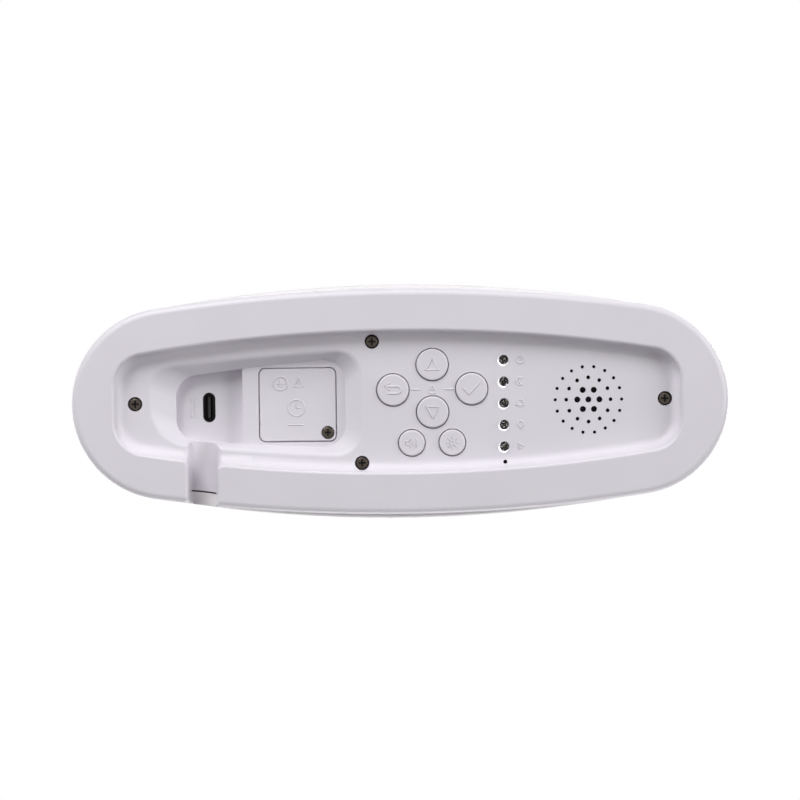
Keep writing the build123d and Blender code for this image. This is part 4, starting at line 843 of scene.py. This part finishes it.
class CLOCK_OT_lamps(bpy.types.Operator):
    """Build the clear indicator lamps with their lead frames and dies"""
    bl_idname = "clock.lamps"
    bl_label = "Indicator lamps"

    def execute(self, context):
        body, cup, die = self.profiles(context.scene.clock_lamps)
        for name, profile, slot, material in (
                ("indicator_lamp_bodies", body, "lamp_epoxy", clear_epoxy()),
                ("indicator_lamp_cups", cup, "spring_steel", silvered_frame()),
                ("indicator_lamp_dies", die, "lamp_phosphor", lamp_die())):
            model = add_object(name + "_model", lathe(name + "_model", profile))
            points = bpy.data.meshes.new(name + "_places")
            points.from_pydata(lamp_places(), [], [])
            mesh = grown_mesh(add_object(name + "_places", points), "placed_copies", name,
                              copied_piece=model, largest_turn=math.tau, finish=material)
            bpy.data.objects.remove(model)
            piece = finish_mesh(mesh, name, "housing")
            if slot == "lamp_epoxy":
                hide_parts("indicator_lamps")
        return {"FINISHED"}

    def profiles(self, lamps):
        """Outlines of a lamp's body, cup with post, and die, upwards from the dome's tip."""
        low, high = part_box("indicator_lamps")
        flange, tall = (high.x - low.x) / 2, high.z - low.z
        radius, flange_level = flange * DOME_WIDTH / FLANGE_WIDTH, tall - FLANGE_HEIGHT
        quarter = [math.radians(angle) for angle in range(0, 91, 6)]
        dome = [(radius * math.sin(a), radius * (1 - math.cos(a))) for a in quarter]
        body = dome + [(radius, flange_level), (flange, flange_level), (flange, tall), (0, tall)]

        rim, lip, post = lamps.cup_radius, lamps.cup_depth, 0.25 * MM
        hollow, back, neck = lip + 0.3 * MM, lip + 0.55 * MM, lip + 0.75 * MM
        cup = [(0, hollow), (rim * 0.35, hollow), (rim * 0.85, lip), (rim, lip),
               (rim * 0.8, back), (post, neck), (post, flange_level), (0, flange_level)]

        side = lamps.die / 2
        tip, shoulder, foot = lip + 0.12 * MM, lip + 0.14 * MM, lip + 0.29 * MM
        return body, cup, [(0, tip), (side, shoulder), (side, foot), (0, foot)]


class CLOCK_OT_shells(bpy.types.Operator):
    """Finish the upper shells, the light band and the window"""
    bl_idname = "clock.shells"
    bl_label = "Shells, band and window"

    def execute(self, context):
        dress(["front_shell", "rear_shell"], shell_abs())
        dress(["glow_band"], opal_polycarbonate())
        dress(["display_window"], smoked_acrylic())
        dress(["window_mask"], screen_ink())
        # the window lies a hair off its ledge and film, so that their curved faces don't cross
        gap = 0.08 * MM
        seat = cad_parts["display_window"].modifiers.new("seat_gap", "DISPLACE")
        seat.direction, seat.strength, seat.mid_level = "Y", -gap, 0.0
        return {"FINISHED"}


class CLOCK_OT_fasteners(bpy.types.Operator):
    """Finish the screws"""
    bl_idname = "clock.fasteners"
    bl_label = "Screws"

    def execute(self, context):
        for node in ("case_screws", "battery_door_screw"):
            dress([node], black_oxide_steel(node))
        dress(["main_board_screws", "usb_board_screws", "light_board_screws", "speaker_screws"],
              zinc_plated_steel())
        return {"FINISHED"}


class CLOCK_OT_battery(bpy.types.Operator):
    """Finish the coin cell, the contacts, the lamps' leads and the socket's shell"""
    bl_idname = "clock.battery"
    bl_label = "Battery and bare metal"

    def execute(self, context):
        dress(["coin_cell"], cell_can_steel())
        dress(["cell_contact_top", "cell_contact_side", "lamp_leads"], nickel_plated_steel())
        dress(["usb_socket"], black_nickel())
        return {"FINISHED"}


class CLOCK_OT_boards(bpy.types.Operator):
    """Finish the boards, what stands on them and the socket's tongue"""
    bl_idname = "clock.boards"
    bl_label = "Boards"

    def execute(self, context):
        dress(["main_board", "usb_board"], green_board())
        dress(["light_board"], white_board())
        dress(["main_board_chips"], chip_epoxy())
        dress(["board_connectors", "light_board_socket"], connector_nylon())
        dress(["tact_switches", "reset_switch", "reset_plunger"]
              + ["switch_plunger_" + key for key in KEYS], black_pbt())
        # the tongue is black plastic painted darker still, as painted shade of the deep slot
        dress(["usb_tongue"], black_pbt("tongue_pbt", "#0A0A0B"))
        return {"FINISHED"}


class CLOCK_OT_display(bpy.types.Operator):
    """Finish the display and the lamps behind the light band"""
    bl_idname = "clock.display"
    bl_label = "Display and light"

    def execute(self, context):
        dress(["display_body"], display_plastic())
        dress(["display_digits"], lit_bar())
        dress(["light_trough"], reflector_white())
        dress(["glow_lamps"], lamp_die())
        return {"FINISHED"}


class CLOCK_OT_speaker(bpy.types.Operator):
    """Finish the speaker and the cloth behind its grille"""
    bl_idname = "clock.speaker"
    bl_label = "Speaker"

    def execute(self, context):
        dress(["grille_mesh"], grille_cloth())
        dress(["speaker_cone"], cone_paper())
        dress(["speaker_gasket"], open_foam())
        dress(["speaker_basket"], coated_steel())
        dress(["speaker_magnet"], magnet_steel())
        dress(["speaker_coil"], enamelled_copper())
        return {"FINISHED"}


class CLOCK_OT_wires(bpy.types.Operator):
    """Finish the wires and the ribbon"""
    bl_idname = "clock.wires"
    bl_label = "Wires"

    def execute(self, context):
        dress(["speaker_leads", "power_leads", "battery_leads"], wire_pvc())
        dress(["ribbon_cable"], ribbon_pvc())
        return {"FINISHED"}


def aim(lamp, place, target):
    """Put a lamp at a place and point it at a target."""
    lamp.location = place
    lamp.rotation_mode = "QUATERNION"
    lamp.rotation_quaternion = (Vector(target) - Vector(place)).to_track_quat("-Z", "Y")


def soft_lamp(name, direction, distance, size, level):
    """Square lamp with the power that gives a white face turned to it this level."""
    data = bpy.data.lights.new(name, "AREA")
    data.shape = "SQUARE"
    data.size = size
    data.energy = level * math.pi ** 2 * distance ** 2
    aim(add_object(name, data), Vector(direction).normalized() * distance, (0, 0, 0))


class CLOCK_OT_stage(bpy.types.Operator):
    """Set the floor, the lamps, the world and the camera"""
    bl_idname = "clock.stage"
    bl_label = "Stage"

    def execute(self, context):
        stage = context.scene.clock_stage
        context.scene.view_settings.view_transform = "Standard"
        self.add_floor(stage)
        self.add_world(stage)
        soft_lamp("front_below", (-0.5, -1.0, -0.8), 1.1, 0.6, stage.key_level)
        for lamp in FILL_LAMPS:
            soft_lamp(*lamp)
        self.add_glints(context.scene.clock_lamps.glint)
        self.add_camera(stage)
        return {"FINISHED"}

    def add_glints(self, level):
        """Light that each clear lamp gathers and throws round it, a little to the left rear."""
        height, spread, aside = 12 * MM, 1.6 * MM, Vector((-0.2, 0.3, 0)) * MM
        for i, place in enumerate(lamp_places()):
            data = bpy.data.lights.new(f"glint_{i + 1}", "SPOT")
            data.energy = level * 4 * math.pi ** 2 * height ** 2
            data.spot_size = 2 * math.atan(spread / height)
            data.spot_blend = 0.15
            data.shadow_soft_size = 0.1 * MM
            glint = add_object(f"glint_{i + 1}", data)
            glint.visible_camera = glint.visible_glossy = glint.visible_transmission = False
            target = place + aside
            aim(glint, target - Vector((0, 0, height)), target)

    def add_floor(self, stage):
        """Pale floor that shows from above only, so that the underside is seen through it."""
        reach, drop, fade_start, fade_end = 3.0, 0.3 * MM, 0.2, 1.4
        mesh = bpy.data.meshes.new("floor")
        mesh.from_pydata([(-reach, -reach, -drop), (reach, -reach, -drop),
                          (reach, reach, -drop), (-reach, reach, -drop)], [], [(0, 1, 2, 3)])
        floor = add_object("floor", mesh)
        material = new_material("pale_floor", stage.floor, 0.9)
        tree = material.node_tree
        far = add_node(tree, "ShaderNodeVectorMath", {"operation": "LENGTH"},
                       {"Vector": object_place(material)})
        fade = add_node(tree, "ShaderNodeMapRange",
                        {"interpolation_type": "SMOOTHSTEP", "From Min": fade_start,
                         "From Max": fade_end}, {"Value": far.outputs["Value"]})
        white = add_node(tree, "ShaderNodeEmission")
        shown = add_node(tree, "ShaderNodeMixShader",
                         links={0: fade.outputs["Result"],
                                1: tree.nodes["Principled BSDF"].outputs["BSDF"],
                                2: white.outputs["Emission"]})
        side = add_node(tree, "ShaderNodeNewGeometry")
        clear = add_node(tree, "ShaderNodeBsdfTransparent")
        mixed = add_node(tree, "ShaderNodeMixShader",
                         links={0: side.outputs["Backfacing"], 1: shown.outputs["Shader"],
                                2: clear.outputs["BSDF"]})
        tree.links.new(mixed.outputs["Shader"], tree.nodes["Material Output"].inputs["Surface"])
        mesh.materials.append(material)
        floor.visible_shadow = False
        floor.visible_diffuse = False
        floor.visible_glossy = False
        floor.visible_transmission = False

    def add_world(self, stage):
        """White to the camera, reflections and clear pieces, and a weak even light."""
        world = bpy.data.worlds.new("studio")
        world.use_nodes = True
        bpy.context.scene.world = world
        tree = world.node_tree
        rays = add_node(tree, "ShaderNodeLightPath").outputs
        seen = rays["Is Camera Ray"]
        for ray in ("Is Glossy Ray", "Is Transmission Ray"):
            seen = add_node(tree, "ShaderNodeMath", {"operation": "MAXIMUM"},
                            {0: seen, 1: rays[ray]}).outputs[0]
        strength = add_node(tree, "ShaderNodeMapRange", {"To Min": stage.ambient, "To Max": 1.0},
                            {"Value": seen})
        background = tree.nodes["Background"]
        background.inputs["Color"].default_value = (1, 1, 1, 1)
        tree.links.new(strength.outputs["Result"], background.inputs["Strength"])

    def add_camera(self, stage):
        """Camera under the clock, with the front at the top of the image."""
        data = bpy.data.cameras.new("camera")
        camera = add_object("camera", data)
        data.sensor_width = 36.0
        data.lens = data.sensor_width * stage.camera_distance / stage.image_width
        data.clip_start, data.clip_end = 0.01, 20.0
        away = Vector((0, -math.sin(stage.tilt), -math.cos(stage.tilt)))
        right = Matrix.Rotation(-stage.roll, 3, away) @ Vector((1, 0, 0))
        up = away.cross(right)
        place = away * stage.camera_distance + up * stage.rise
        turn = Matrix((right, up, away)).transposed()
        camera.matrix_world = Matrix.Translation(place) @ turn.to_4x4()
        bpy.context.scene.camera = camera


class CLOCK_PT_panel(bpy.types.Panel):
    """Lists the clock's operators in the sidebar"""
    bl_label = "Sleep trainer clock"
    bl_idname = "CLOCK_PT_panel"
    bl_space_type = "VIEW_3D"
    bl_region_type = "UI"
    bl_category = "Clock"

    def draw(self, context):
        for operator in OPERATORS:
            self.layout.operator(operator.bl_idname)


SETTINGS = {
    "clock_finish": ClockFinishSettings,
    "clock_signs": ClockSignSettings,
    "clock_lamps": ClockLampSettings,
    "clock_stage": ClockStageSettings,
}
OPERATORS = (CLOCK_OT_stage, CLOCK_OT_trees, CLOCK_OT_base, CLOCK_OT_keys, CLOCK_OT_panel_marks,
             CLOCK_OT_lamps, CLOCK_OT_shells, CLOCK_OT_fasteners, CLOCK_OT_battery,
             CLOCK_OT_boards, CLOCK_OT_display, CLOCK_OT_speaker, CLOCK_OT_wires)
CLASSES = (*SETTINGS.values(), *OPERATORS, CLOCK_PT_panel)


def register():
    for cls in CLASSES:
        bpy.utils.register_class(cls)
    for name, group in SETTINGS.items():
        setattr(bpy.types.Scene, name, PointerProperty(type=group))


def unregister():
    for name in SETTINGS:
        delattr(bpy.types.Scene, name)
    for cls in reversed(CLASSES):
        bpy.utils.unregister_class(cls)


def main():
    register()
    bpy.ops.clock.stage()
    bpy.ops.clock.trees()
    bpy.ops.clock.base()
    bpy.ops.clock.keys()
    bpy.ops.clock.panel_marks()
    bpy.ops.clock.lamps()
    bpy.ops.clock.shells()
    bpy.ops.clock.fasteners()
    bpy.ops.clock.battery()
    bpy.ops.clock.boards()
    bpy.ops.clock.display()
    bpy.ops.clock.speaker()
    bpy.ops.clock.wires()


if __name__ == "__main__":
    main()
